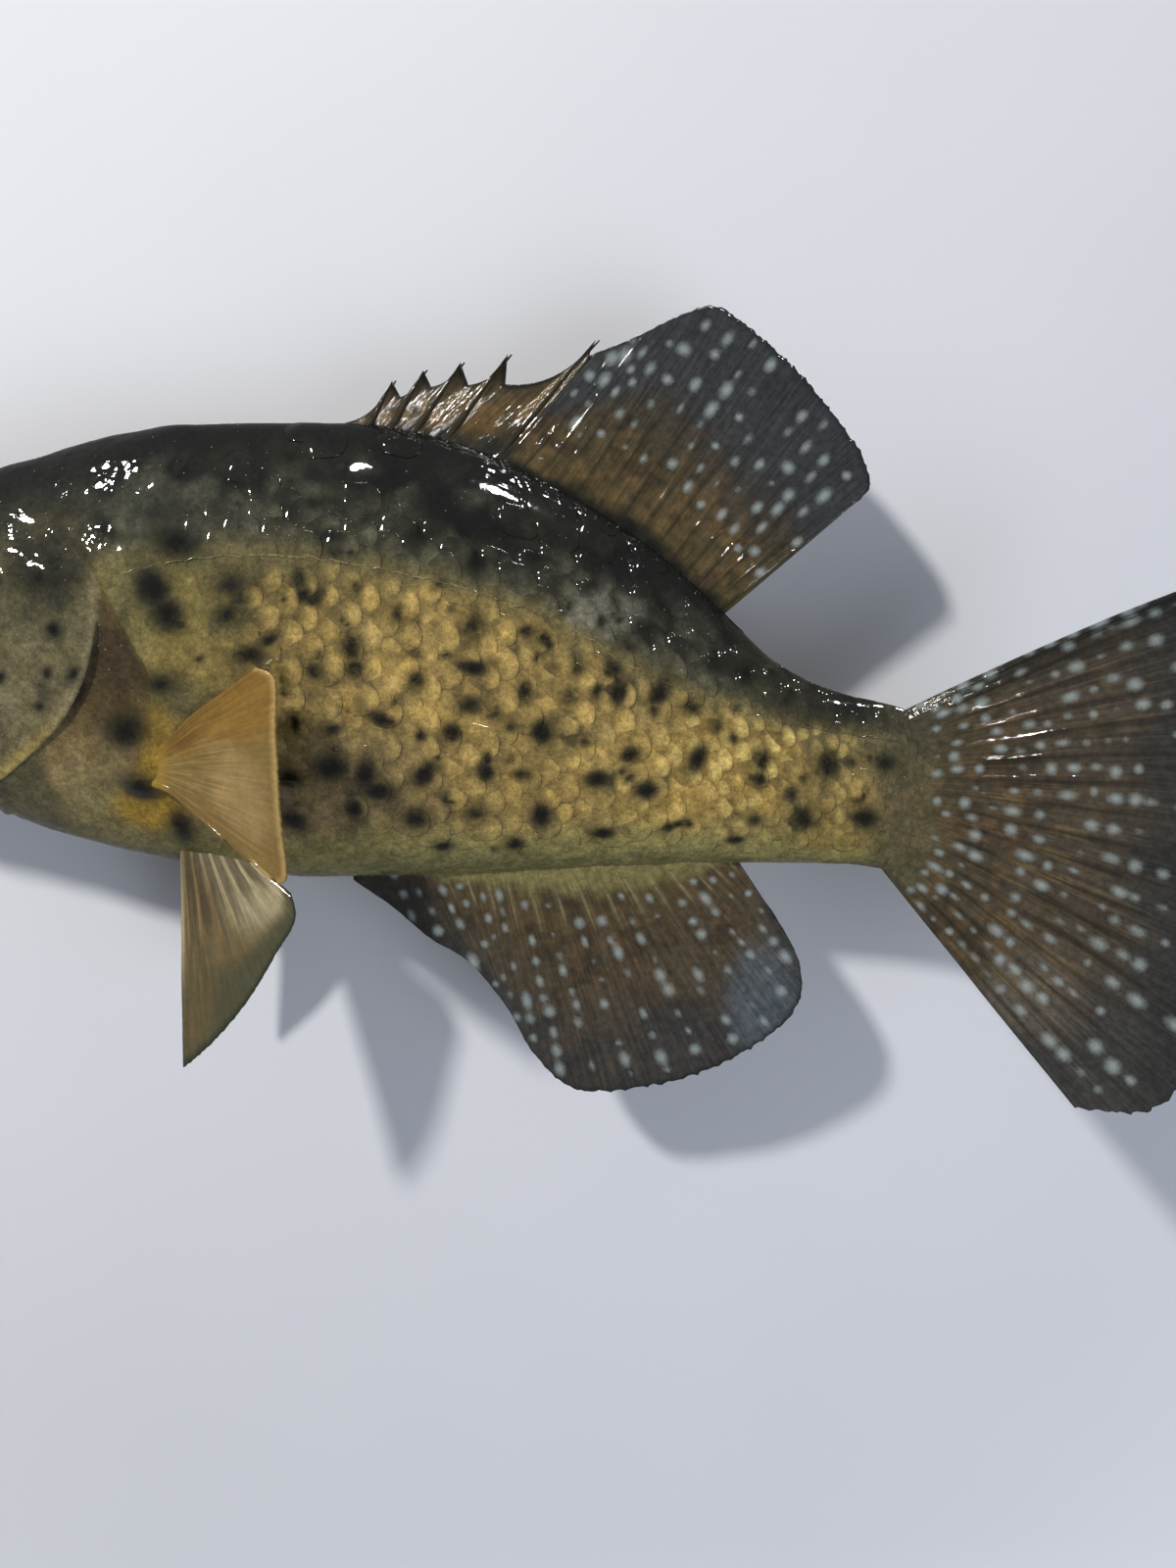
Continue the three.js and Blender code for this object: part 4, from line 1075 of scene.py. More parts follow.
def anal_paint(u, v, points, ridge):
    colour = dark_fin_paint(v, points, "55482E", "5C4A33", "4B4335", "3B3A39", 0.7, 0.6)
    colour = layer(colour, [
        ("2B2B27", 0.9 * ease(u + 0.05 * cloud(points, 9, 54), 0.3, 0.12)),
        # painted reflection: a blue-grey patch stands for sheen on the lacquer
        ("5A6570", 0.62 * near(points[:, 0], points[:, 2], 88, -92, 13, 22)),
        ("8E8765", 0.7 * ridge ** 3 * ease(v, 0.34, 0.2) * ease(v, 0.04, 0.1) * ease(u, 0.18, 0.3)),
        ("1E1D18", 0.5 * ease(np.abs(ridge - 0.3), 0.12, 0) * ease(v, 0.6, 0.3)),
        ("1D1F21", 0.7 * ease(v, 0.975, 0.995)),
    ])
    return join_body(colour, v, points, 0.2)


def tail_paint(u, v, points, ridge):
    colour = dark_fin_paint(v, points, "4A4230", "5E4D36", "4B4439", "3D3D3C", 0.75, 0.57)
    colour = layer(colour, [
        ("2B2C2D", 0.7 * ease(points[:, 0] + 5 * cloud(points, 12, 55), 160, 182)),
        ("2C2D2A", 0.8 * ease(u, 0.16, 0.02)),
        ("6B6760", 0.4 * near(points[:, 0], points[:, 2], 150, -80, 15, 14)),
    ])
    streak = ease(np.abs(((u * 17 + 0.5) % 1) - 0.5), 0.32, 0.46)
    colour = layer(colour, [
        ("1D1B16", 0.65 * streak * ease(v, 0.1, 0.25) * ease(v, 0.95, 0.6)),
        ("7E6C48", 0.45 * ridge ** 2 * ease(cloud(points, 7, 48), -0.2, 0.5) * ease(v, 0.85, 0.5)),
    ])
    return join_body(colour, v, points, 0.14)


def pectoral_paint(u, v, points, ridge):
    wisp, fog = cloud(points, 4, 56), cloud(points, 13, 57)
    colour = np.tile(np.array(srgb("806B3E")[:3]), (len(u), 1))
    colour = layer(colour, [
        ("977F50", ease(wisp + 0.6 * fog, -0.3, 0.8) * 0.7),
        ("88692F", 0.95 * ease(u + 0.05 * wisp, 0.36, 0.22)),
        ("B59A6A", 0.45 * near(u, v, 0.55, 0.72, 0.3, 0.3)),
        ("7C6535", 0.7 * ease(u + 0.05 * wisp, 0.68, 0.9)),
        ("7A6236", 0.85 * ease(v, 0.3, 0.05)),
        ("6B5327", 0.7 * ease(u + 0.04 * wisp, 0.3, 0.2) * ease(v, 0.7, 0.3)),
        ("B89C62", 0.85 * ease(v, 0.97, 0.99)),
    ])
    return join_body(colour, v, points, 0.3)


def pelvic_paint(u, v, points, ridge):
    wisp, fog = cloud(points, 5, 58), cloud(points, 14, 59)
    colour = np.tile(np.array(srgb("75684A")[:3]), (len(u), 1))
    colour = layer(colour, [
        ("A69C7C", 0.9 * ease(u - 0.5 * v + 0.08 * wisp, 0.12, 0.45)),
        ("80603A", 0.5 * ridge * ease(wisp + fog, -0.3, 0.6) * ease(np.abs(v - 0.5), 0.4, 0.2)
                   * ease(u, 0.55, 0.4)),
        ("40372A", 0.65 * ease(ridge, 0.4, 0.1) * ease(v, 0.75, 0.3)),
        ("5A5138", 0.9 * ease(v + 0.1 * fog + 0.06 * wisp - 0.3 * u, 0.42, 0.7)),
        ("4A4B38", 0.85 * ease(v + 0.1 * fog + 0.06 * wisp, 0.72, 0.94)),
        ("A29878", 0.9 * ease(u, 0.06, 0.02) * ease(v, 0.75, 0.45)),
    ])
    return layer(colour, [("31352A", 0.7 * ease(v, 0.95, 0.99))])


def make_spiny_dorsal(sizes):
    """The web between the dorsal spines, whose edge drops behind each one, and the spines in it."""
    roots, tips, notches = (np.array(SPINES[key], float) for key in ("roots", "tips", "notches"))
    stations = [((-20.0, 52.0), (-17.0, 55.6))]
    for root, tip, notch in zip(roots, tips, notches):
        stations.append((tuple(root - (0, 3)), tuple(tip)))
        stations.append((tuple(root - (0, 3)), tuple(notch)))
    stations.append(((18.2, 41.0), (42.7, 70.6)))
    lows, highs, parts = [], [], []
    for k in range(0, len(stations) - 1, 2):
        (low_a, high_a), (low_b, high_b) = stations[k], stations[k + 1]
        last = k == len(stations) - 2
        count = 4 if last else 15
        for w in np.linspace(0, 1, count):
            lows.append(np.array(low_a) * (1 - w) + np.array(low_b) * w)
            top = np.array(high_a) * (1 - w) + np.array(high_b) * w
            dip = 0 if last else 0.13 * np.linalg.norm(np.array(high_b) - high_a)
            highs.append(top - (-0.35 * dip, dip) * np.array(4 * w * (1 - w)))
            parts.append(w)
    lows, highs = np.array(lows), np.array(highs)
    v = np.linspace(0, 1, 34)
    flat = lows[:, None] * (1 - v[None, :, None]) + highs[:, None] * v[None, :, None]
    height = float(midline(0.0))
    middle = np.stack([flat[..., 0], np.full(flat.shape[:2], -height), flat[..., 1]], -1)
    normal = np.zeros(middle.shape)
    normal[..., 1] = -1
    u = np.repeat(np.array(parts)[:, None], len(v), 1)
    v = np.repeat(v[None], len(parts), 0)
    folds = np.abs(np.sin(u * np.pi * 3)) ** 0.7
    half = 0.34 + 0.12 * folds + 1.0 * ease(v, 0.42, 0.1) * (1 + 0.3 * np.sin(u * 12))
    half += 0.14 * ease(v, 0.96, 1)
    points = close_sheet(middle, normal, half)
    flat = middle.reshape(-1, 3)
    wisp = cloud(flat, 3.4, 61)
    colour = np.tile(np.array(srgb("46402F")[:3]), (len(flat), 1))
    colour = layer(colour, [
        ("6A5533", 0.8 * ease(wisp + ease(flat[:, 0], -14, 20), 0, 0.9) * ease(v.ravel(), 1, 0.6)),
        ("2C2C25", ease(v.ravel() + 0.1 * wisp, 0.5, 0.2)),
        ("171714", 0.85 * ease(v.ravel(), 0.9, 0.98)),
    ])
    web = sheet("spiny_dorsal_web", points, paint=both_sides(colour.reshape(*v.shape, 3)),
                spot=both_sides(np.full(v.shape, -1.0)), across=both_sides(u * 3), rise=both_sides(v * 2))
    finish_piece(web, lacquered_fin("dark fin web"), "dark_fin", "dorsal_fin_spiny")
    for k, (root, tip) in enumerate(zip(roots, tips)):
        make_spine(k, root - (0, 4), tip, height, sizes)


def make_spine(index, root, tip, height, sizes):
    """One stout spine, bent back a little at its sharp tip."""
    bpy.ops.object.select_all(action="DESELECT")
    bpy.ops.mesh.primitive_cylinder_add(vertices=12, radius=1, depth=1, end_fill_type="TRIFAN")
    piece = active(f"dorsal_spine_{index + 1}")
    edit(piece, lambda: bpy.ops.mesh.bisect(plane_co=(0, 0, 0), plane_no=(0, 0, 1)),
         lambda: bpy.ops.mesh.subdivide(number_cuts=1))
    for _ in range(2):
        edit(piece, lambda: bpy.ops.mesh.subdivide(number_cuts=1))
    run = np.array(tip) - root
    length = np.linalg.norm(run)
    run, across = run / length, np.array((run[1], -run[0])) / length
    thick = sizes.spine_thickness / MM / 2
    for vertex in piece.data.vertices:
        share = vertex.co.z + 0.5
        angle = math.atan2(vertex.co.y, vertex.co.x)
        spread = min(1, math.hypot(vertex.co.x, vertex.co.y))
        radius = thick * (1 - 0.86 * share ** 1.3) * spread
        hook = 1.5 * max(0, share - 0.68) ** 2 * 10
        side = radius * math.cos(angle) + hook * 0.5
        x, z = root + run * share * (length + 0.6) + across * side
        vertex.co = Vector((x, -height + radius * 1.15 * math.sin(angle), z)) * MM
    flat = np.array([v.co for v in piece.data.vertices]) / MM
    colour = np.tile(np.array(srgb("3B3527")[:3]), (len(flat), 1))
    colour = layer(colour, [("151412", ease(flat[:, 2], root[1] + 0.45 * length, root[1] + 0.8 * length))])
    set_values(piece.data, "paint", "FLOAT_COLOR", colour)
    for key, value in (("spot", -1), ("across", 0), ("rise", 2)):
        set_values(piece.data, key, "FLOAT", np.full(len(flat), float(value)))
    weld(piece, 0.000001)
    finish_piece(piece, lacquered_fin("dark fin spine"), "dark_fin")


def make_fins(sizes):
    dark, golden = lacquered_fin("dark fin web"), lacquered_fin("golden fin web", fine=0.4)
    make_fin("dorsal_soft", SOFT_DORSAL, sizes, dorsal_paint, dark, "dorsal_fin_soft", DORSAL_SPOTS, 1.5,
             seed=1)
    make_fin("anal", ANAL, sizes, anal_paint, dark, "anal_fin", ANAL_SPOTS, 1.3, seed=2)
    make_fin("tail", TAIL, sizes, tail_paint, dark, "tail_fin", TAIL_SPOTS, 2.2, 0.5, 96, seed=3)
    for name, fin, fold in (("pectoral", PECTORAL, FAR_PECTORAL), ("pelvic", PELVIC, FAR_PELVIC)):
        colours = pectoral_paint if name == "pectoral" else pelvic_paint
        for side, shape in (("left", fin), ("right", far_side(fin, **fold))):
            make_fin(f"{name}_{side}", shape, sizes, colours, golden, f"{name}_fin_{side}", None, 1.2,
                     0.14 if name == "pectoral" else 0.2, 50, 0.0, seed=4)


# ---- eyes and mount ----
def make_eye(side):
    centre, half = eye_place(side)
    bpy.ops.object.select_all(action="DESELECT")
    bpy.ops.mesh.primitive_uv_sphere_add(segments=64, ring_count=36, radius=1,
                                         rotation=(math.pi / 2, 0, 0))
    eye = active("eye_ball_left" if side == LEFT else "eye_ball_right")
    bpy.ops.object.transform_apply(location=True, rotation=True, scale=True)
    for vertex in eye.data.vertices:
        x, y, z = vertex.co
        flatter = 1 - 0.1 * bump(math.hypot(x, z), 0.5)
        vertex.co = Vector((centre[0] + x * half[0], centre[1] + y * half[1] * flatter * 1.04,
                            centre[2] + z * half[2])) * MM
    weld(eye, 0.000001)
    return finish_piece(eye, glass_eye(centre), "glass_eye", "eye_left" if side == LEFT else "eye_right")


def make_eye_rim(side):
    """The rolled rim of skin round an eye, from a torus whose tube is a share of its ring."""
    centre, half = eye_place(side)
    tube = 0.1
    bpy.ops.object.select_all(action="DESELECT")
    bpy.ops.mesh.primitive_torus_add(major_segments=144, minor_segments=16, major_radius=1,
                                     minor_radius=tube)
    rim = active("eye_rim_left" if side == LEFT else "eye_rim_right")
    found = np.array([vertex.co for vertex in rim.data.vertices])
    angle, ring = np.arctan2(found[:, 1], found[:, 0]), np.hypot(found[:, 0], found[:, 1])
    across, lift = (ring - 1) / tube, found[:, 2] / tube
    fold = cloud(np.stack([6 * np.cos(angle), 6 * np.sin(angle), 0 * angle], 1), 3.4, 31)
    reach = half[0] + 0.12
    crest = np.stack([centre[0] + reach * np.cos(angle), 0 * angle, centre[2] + reach * np.sin(angle)], 1)
    crest[:, 1] = skin_point(crest[:, 0], share_at(crest[:, 0], crest[:, 2]), side)[:, 1]
    set_sockets(crest, side)
    reach = half[0] - 0.45 + (1.05 + 0.2 * fold) * across
    points = np.stack([centre[0] + reach * np.cos(angle),
                       crest[:, 1] + side * (0.62 * lift - 0.4 + 0.1 * fold),
                       centre[2] + reach * np.sin(angle)], 1)
    rim.data.vertices.foreach_set("co", (points * MM).astype(np.float32).ravel())
    colour = layer(body_paint(points), [("1E1D17", np.full(len(points), 0.65))])
    set_values(rim.data, "paint", "FLOAT_COLOR", colour)
    set_values(rim.data, "speckle", "FLOAT", np.full(len(points), -9.0))
    set_values(rim.data, "wet", "FLOAT", np.full(len(points), 0.3))
    if side == RIGHT:
        rim.data.flip_normals()
    rim.data.update()
    return finish_piece(rim, painted_skin(), "lacquered_skin")


def dress_mount():
    """The block and the keyhole plate keep their own solids and get their finish."""
    for name, material in (("back_block", planed_pine()), ("hanger_plate", zinc_steel())):
        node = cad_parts[name]
        node.data.materials.clear()
        node.data.materials.append(material)


# ---- finishes ----
UNDER_COAT_IOR = 1.1               # paint seen from inside the clear coat hardly reflects
CLEAR_COAT_IOR = 1.5               # epoxy and lacquer
SOFT = {"interpolation_type": "SMOOTHSTEP"}   # a Map Range node with soft ends
FOLDS_PER_RAY = 8                  # fine folds along a fin's web, about a millimetre apart at its rim
FIBRE_TURN = 0.11                  # radians from one fibre of the iris to the next, about 0.6 mm

# Sizes of patterns in millimetres; those with three run along, through and up the mount.
SPECK_SPACING = 1.6                # of pale specks: dust caught in the coat, partly painted glints
BUBBLE_SPACING = 2.4               # of bubbles in it
PINE_RINGS = (142.9, 16.67, 4.762)
PINE_FIBRES = (25, 1.111, 0.6667)
ROLLING_LINES = (16.67, 1.111, 0.7143)


def scale_for(size):
    """The scale that gives a pattern features of this size in millimetres."""
    return 1 / (size * MM)


def add_node(tree, kind, *values, **settings):
    """Adds a node with its settings. Its sockets in use take the values in order, or by name from a
    dictionary. A value is a number, a colour, a socket, or a node, which gives its first output in use."""
    made = tree.nodes.new("ShaderNode" + kind)
    for name, value in settings.items():
        setattr(made, name, value)
    if values and isinstance(values[0], dict):
        given = [(made.inputs[name], value) for name, value in values[0].items()]
    else:
        given = zip([socket for socket in made.inputs if socket.enabled], values)
    for socket, value in given:
        if isinstance(value, bpy.types.Node):
            value = next(output for output in value.outputs if output.enabled)
        if isinstance(value, bpy.types.NodeSocket):
            tree.links.new(value, socket)
        else:
            socket.default_value = value
    return made


def new_material(name):
    """A material and what adds nodes to it, or None for the second where it is finished already."""
    material = bpy.data.materials.get(name)
    if material:
        return material, None
    material = bpy.data.materials.new(name)
    material.use_nodes = True
    material.node_tree.nodes.clear()
    return material, partial(add_node, material.node_tree)


# Epoxy-coated airbrush paint over a tanned skin: soft mottled colours with grainy dark marks, under a
# thick clear coat that is wet-looking and slightly lumpy, so that small lamps break up into glints.
def painted_skin(rim=None):
    material, add = new_material("airbrushed skin, epoxy gloss" + (", scales" if rim else ""))
    if add is None:
        return material
    place = add("TexCoord").outputs["Object"]
    paint = add("Attribute", attribute_name="paint")
    clouds = add("TexNoise", place, scale_for(4.5), 3, 0.6)
    mottle = add("TexNoise", place, scale_for(1.5), 4, 0.7)
    dust = add("TexNoise", place, scale_for(0.4), 2, 0.6)
    grain = add("TexNoise", place, scale_for(0.6), 2, 0.6)
    cloudy = add("MapRange", clouds, 0.3, 0.7, 0.78, 1.24, **SOFT)
    mottled = add("MapRange", mottle, 0.3, 0.7, 0.72, 1.28, **SOFT)
    grained = add("MapRange", grain, 0.3, 0.7, 0.84, 1.16, **SOFT)
    shade = add("Math", cloudy, mottled, operation="MULTIPLY")
    shade = add("Math", shade, grained, operation="MULTIPLY")
    paint = add("HueSaturation", {"Value": shade, "Color": paint})
    dusty = add("MapRange", dust, 0.4, 0.24, 0, 0.7, **SOFT)
    paint = add("Mix", dusty, paint, srgb("1F1D16"), data_type="RGBA")
    # pale specks: dust caught in the coat, partly painted glints on it
    specks = add("MapRange", add("TexVoronoi", place, scale_for(SPECK_SPACING)), 0.14, 0.08, **SOFT)
    shown = add("MapRange", add("TexNoise", place, scale_for(2)), 0.52, 0.62, 0, 0.6, **SOFT)
    shown = add("Math", specks, shown, operation="MULTIPLY")
    paint = add("Mix", shown, paint, srgb("A7A897"), data_type="RGBA")
    # the dark marks, each with a soft halo
    depth = add("Attribute", attribute_name="speckle").outputs["Fac"]
    ragged = add("TexNoise", place, scale_for(1.6), 3, 0.6)
    ragged = add("Math", ragged, 0.8, -0.4, operation="MULTIPLY_ADD")
    grainy = add("Math", dust, 0.7, -0.35, operation="MULTIPLY_ADD")
    edge = add("Math", add("Math", depth, ragged, operation="ADD"), grainy, operation="ADD")
    halo = add("Math", add("MapRange", depth, -1.9, 0.5, **SOFT), 1.8, operation="POWER")
    uneven = add("MapRange", clouds, 0.3, 0.6, 0.55, 0.95, **SOFT)
    halo = add("Math", halo, uneven, operation="MULTIPLY")
    paint = add("Mix", halo, paint, srgb("2A2C20"), data_type="RGBA")
    mark = add("Math", add("MapRange", edge, -0.45, 0.75, **SOFT), 0.93, operation="MULTIPLY")
    paint = add("Mix", mark, paint, srgb("0A0A09"), data_type="RGBA")
    if rim:
        broken = add("MapRange", add("TexNoise", place, scale_for(3)), 0.3, 0.5, **SOFT)
        outline = add("Attribute", attribute_name=rim).outputs["Fac"]
        outline = add("Math", outline, 1.6, operation="POWER")
        outline = add("Math", outline, broken, operation="MULTIPLY")
        outline = add("Math", outline, 0.95, operation="MULTIPLY")
        paint = add("Mix", outline, paint, srgb("241A10"), data_type="RGBA")
    # the clear coat: lumps, with beads and bubbles where it ran thick
    lumps = add("TexNoise", place, scale_for(5.6), 2.2, 0.34)
    beads = add("TexNoise", place, scale_for(2.6), 2, 0.4)
    wet = add("Attribute", attribute_name="wet").outputs["Fac"]
    beads = add("Math", beads, add("MapRange", wet, 0.8, 1.15, 0.08, 0.4, **SOFT), operation="MULTIPLY")
    height = add("Math", lumps, 0.8, beads, operation="MULTIPLY_ADD")
    height = add("Math", height, wet, operation="MULTIPLY")
    bubbles = add("MapRange", add("TexVoronoi", place, scale_for(BUBBLE_SPACING)), 0.42, 0.3, **SOFT)
    shown = add("MapRange", wet, 1.12, 1.2, 0, 0.35, **SOFT)
    bubbles = add("Math", bubbles, shown, operation="MULTIPLY")
    height = add("Math", height, bubbles, operation="ADD")
    coat_bump = add("Bump", {"Height": height, "Distance": 1.1 * MM, "Strength": 0.6})
    skin_bump = add("Bump", {"Height": dust, "Distance": 0.2 * MM, "Strength": 0.3, "Normal": coat_bump})
    shader = add("BsdfPrincipled", {
        "Base Color": paint, "Roughness": 0.6, "IOR": UNDER_COAT_IOR, "Coat Weight": 1.0,
        "Coat Roughness": 0.055 if rim else 0.04, "Coat IOR": CLEAR_COAT_IOR, "Normal": skin_bump,
        "Coat Normal": coat_bump})
    add("OutputMaterial", {"Surface": shader})
    return material


# Dried fin membrane painted and lacquered: raised rays with fine lengthwise folds, pale airbrushed spots
# and an uneven gloss.
def lacquered_fin(name, fine=1.0):
    material, add = new_material(name + ", gloss lacquer")
    if add is None:
        return material
    place = add("TexCoord").outputs["Object"]
    paint = add("Attribute", attribute_name="paint")
    across = add("Attribute", attribute_name="across").outputs["Fac"]
    rise = add("Attribute", attribute_name="rise").outputs["Fac"]
    across = add("Math", across, FOLDS_PER_RAY * fine ** 0.5, operation="MULTIPLY")
    folds = add("TexNoise", {"Vector": add("CombineXYZ", across, rise), "Scale": 1.0, "Detail": 3.0,
                             "Distortion": 0.4})
    mottle = add("TexNoise", place, scale_for(1.8), 4, 0.7)
    dust = add("TexNoise", place, scale_for(0.5), 2, 0.6)
    shown = add("MapRange", rise, 0.1, 0.7, **SOFT)
    folds = add("Math", folds, 0.5, operation="SUBTRACT")
    folds = add("Math", folds, shown, 0.5, operation="MULTIPLY_ADD")
    if fine < 1:
        shown = add("MapRange", rise, 1.6, 3.4, 1, 0.35, **SOFT)
        folds = add("Math", folds, 0.5, operation="SUBTRACT")
        folds = add("Math", folds, shown, 0.5, operation="MULTIPLY_ADD")
    mottled = add("MapRange", mottle, 0.3, 0.7, 1 - 0.26 * fine, 1 + 0.26 * fine, **SOFT)
    folded = add("MapRange", folds, 0.3, 0.7, 1.24, 0.74, **SOFT)
    shade = add("Math", mottled, folded, operation="MULTIPLY")
    cells = add("TexVoronoi", place, scale_for(2.6), feature="DISTANCE_TO_EDGE")
    cells = add("MapRange", cells, 0.1, 0.02, **SOFT)
    shown = add("MapRange", rise, 0.6, 0.2, 0, 0.26 * fine, **SOFT)
    cells = add("Math", cells, shown, operation="MULTIPLY")
    shade = add("Math", shade, add("Math", 1.0, cells, operation="SUBTRACT"), operation="MULTIPLY")
    paint = add("HueSaturation", {"Value": shade, "Color": paint})
    # the pale spots
    ragged = add("TexNoise", place, scale_for(1.2), 2, 0.6)
    ragged = add("Math", ragged, 0.5, -0.25, operation="MULTIPLY_ADD")
    grainy = add("Math", dust, 0.5, -0.25, operation="MULTIPLY_ADD")
    spot = add("Attribute", attribute_name="spot").outputs["Fac"]
    depth = add("Math", add("Math", spot, ragged, operation="ADD"), grainy, operation="ADD")
    pale = add("MapRange", depth, -0.55, 1.05, 0, 0.8, **SOFT)
    paint = add("Mix", pale, paint, srgb("A2AFB0"), data_type="RGBA")
    # the lacquer follows the folds, and ran thick at the root
    lumps = add("Math", add("TexNoise", place, scale_for(3.4)), 0.6 * fine, operation="MULTIPLY")
    ribbed = add("MapRange", rise, 2.4, 0.9, 0.25 * fine, 0.6 * fine, **SOFT)
    height = add("Math", folds, ribbed, lumps, operation="MULTIPLY_ADD")
    beads = add("TexNoise", place, scale_for(1.8), 1, 0.5)
    wet = add("MapRange", rise, 0.9, 0.3, 0.06 * fine, 0.5 * fine, **SOFT)
    wet = add("Math", beads, wet, operation="MULTIPLY")
    height = add("Math", height, wet, operation="ADD")
    coat = add("Bump", {"Height": height, "Distance": 0.7 * MM, "Strength": 0.5})
    shader = add("BsdfPrincipled", {
        "Base Color": paint, "Roughness": 0.6, "IOR": UNDER_COAT_IOR, "Coat Weight": 1.0,
        "Coat Roughness": 0.06, "Coat IOR": CLEAR_COAT_IOR, "Normal": coat, "Coat Normal": coat})
    add("OutputMaterial", {"Surface": shader})
    return material


# A cast glass eye: a black pupil in a golden brown iris painted on its back, under clear glass.
def glass_eye(centre):
    material, add = new_material("cast glass eye" + (" left" if centre[1] < -35 else " right"))
    if add is None:
        return material
    place = add("TexCoord").outputs["Object"]
    shifted = add("Mapping", {"Vector": place, "Location": tuple(-centre * MM)})
    parts = add("SeparateXYZ", shifted)
    flat = add("CombineXYZ", parts.outputs["X"], parts.outputs["Z"])
    length = add("VectorMath", flat, operation="LENGTH")
    out = add("VectorMath", flat, operation="NORMALIZE")
    spread = add("TexNoise", place, scale_for(1.6), 3, 0.6)
    fibres = add("TexNoise", out, 1 / FIBRE_TURN, 3, 0.65)
    ring = add("Math", length, 0.4 * MM, operation="SUBTRACT")
    ring = add("Math", spread, 0.8 * MM, ring, operation="MULTIPLY_ADD")
    edge = add("Math", ring, 0.45 * MM, operation="SUBTRACT")
    edge = add("Math", fibres, 0.9 * MM, edge, operation="MULTIPLY_ADD")
    shown = add("MapRange", fibres, 0.34, 0.66, **SOFT)
    iris = add("Mix", shown, srgb("5E4820"), srgb("A5803A"), data_type="RGBA")
    # blotches, a dark rim, shade from above, a gold ring and the pupil
    for code, value, low, high, most in (
            ("33280F", spread, 0.5, 0.68, 0.75), ("1D1A11", edge, 5.6 * MM, 7.4 * MM, 1),
            ("15140F", parts.outputs["Z"], 3.6 * MM, 6.8 * MM, 0.85),
            ("D2AE55", edge, 5.2 * MM, 4.7 * MM, 1), ("020202", ring, 4.4 * MM, 4.2 * MM, 1)):
        shown = add("MapRange", value, low, high, 0, most, **SOFT)
        iris = add("Mix", shown, iris, srgb(code), data_type="RGBA")
    shader = add("BsdfPrincipled", {
        "Base Color": iris, "Roughness": 0.4, "IOR": UNDER_COAT_IOR, "Coat Weight": 1.0,
        "Coat Roughness": 0.01, "Coat IOR": 1.52})
    add("OutputMaterial", {"Surface": shader})
    return material


# Planed pine, oiled: pale yellow-brown with straight grain along the block and a low sheen.
def planed_pine():
    material, add = new_material("planed pine, oiled")
    place = add("TexCoord").outputs["Object"]
    rings = add("Mapping", {"Vector": place, "Scale": [scale_for(size) for size in PINE_RINGS]})
    rings = add("TexNoise", {"Vector": rings, "Scale": 1.0, "Detail": 1.0, "Roughness": 0.35,
                             "Distortion": 0.25})
    grain = add("Mapping", {"Vector": place, "Scale": [scale_for(size) for size in PINE_FIBRES]})
    grain = add("TexNoise", grain, 1, 4, 0.6)
    shown = add("MapRange", rings, 0.36, 0.64, **SOFT)
    wood = add("Mix", shown, srgb("C39A61"), srgb("A87C46"), data_type="RGBA")
    for code, value, low, high, most in (("8A5F33", rings, 0.55, 0.68, 0.55),
                                         ("7F5730", grain, 0.45, 0.75, 0.4)):
        shown = add("MapRange", value, low, high, 0, most, **SOFT)
        wood = add("Mix", shown, wood, srgb(code), data_type="RGBA")
    relief = add("Bump", {"Height": grain, "Distance": 0.3 * MM, "Strength": 0.5})
    shader = add("BsdfPrincipled", {"Base Color": wood, "Roughness": 0.55, "IOR": 1.5, "Normal": relief})
    add("OutputMaterial", {"Surface": shader})
    return material


# Rolled steel strip, zinc plated: blue-grey with faint rolling lines.
def zinc_steel():
    material, add = new_material("zinc-plated steel, rolled")
    place = add("TexCoord").outputs["Object"]
    lines = add("Mapping", {"Vector": place, "Scale": [scale_for(size) for size in ROLLING_LINES]})
    lines = add("TexNoise", lines, 1, 3)
    cloudy = add("MapRange", add("TexNoise", place, scale_for(6), 3, 0.6), 0.35, 0.65, **SOFT)
    steel = add("Mix", cloudy, srgb("A7ACB0"), srgb("868C92"), data_type="RGBA")
    dulled = add("MapRange", lines, 0.3, 0.7, 0.28, 0.44, **SOFT)
    relief = add("Bump", {"Height": lines, "Distance": 0.1 * MM, "Strength": 0.4})
    shader = add("BsdfPrincipled", {"Base Color": steel, "Metallic": 1.0, "Roughness": dulled,
                                    "Normal": relief})
    add("OutputMaterial", {"Surface": shader})
    return material


# Matt pale wall and floor paint: lit, with the fish's shadow, near the fish, and fading to the plain
# background away from it. The wall is seen only from the room's side, so that the back of the mount
# can be looked at too.
BACKGROUND = "DEE1E9"
PLAIN_FROM = (0.26, 0.56)          # metres from the fish, where the fading starts and ends


def wall_paint(colour):
    material, add = new_material("matt wall paint")
    place = add("TexCoord").outputs["Object"]
    faint = add("MapRange", add("TexNoise", place, scale_for(120)), 0.3, 0.7, 0, 0.06, **SOFT)
    wall = add("Mix", faint, colour, srgb("B9BDC6"), data_type="RGBA")
    lit = add("BsdfPrincipled", {"Base Color": wall, "Roughness": 0.75})
    plain = add("Emission", srgb(BACKGROUND), 1.0)
    away = add("MapRange", add("VectorMath", place, operation="LENGTH"), *PLAIN_FROM, **SOFT)
    away = add("Math", away, add("LightPath").outputs["Is Camera Ray"], operation="MULTIPLY")
    painted = add("MixShader", away, lit, plain)
    behind = add("NewGeometry").outputs["Backfacing"]
    seen = add("MixShader", behind, painted, add("BsdfTransparent"))
    add("OutputMaterial", {"Surface": seen})
    return material


# ---- stage ----
CAMERA_AT = (0.03611, -0.3454, 0.02887)
CAMERA_TURN, CAMERA_DIP = math.radians(1.097), math.radians(11.49)
CAMERA_LENS = 28.125               # millimetres, on a sensor whose long side spans the view's height
CAMERA_SENSOR = 36


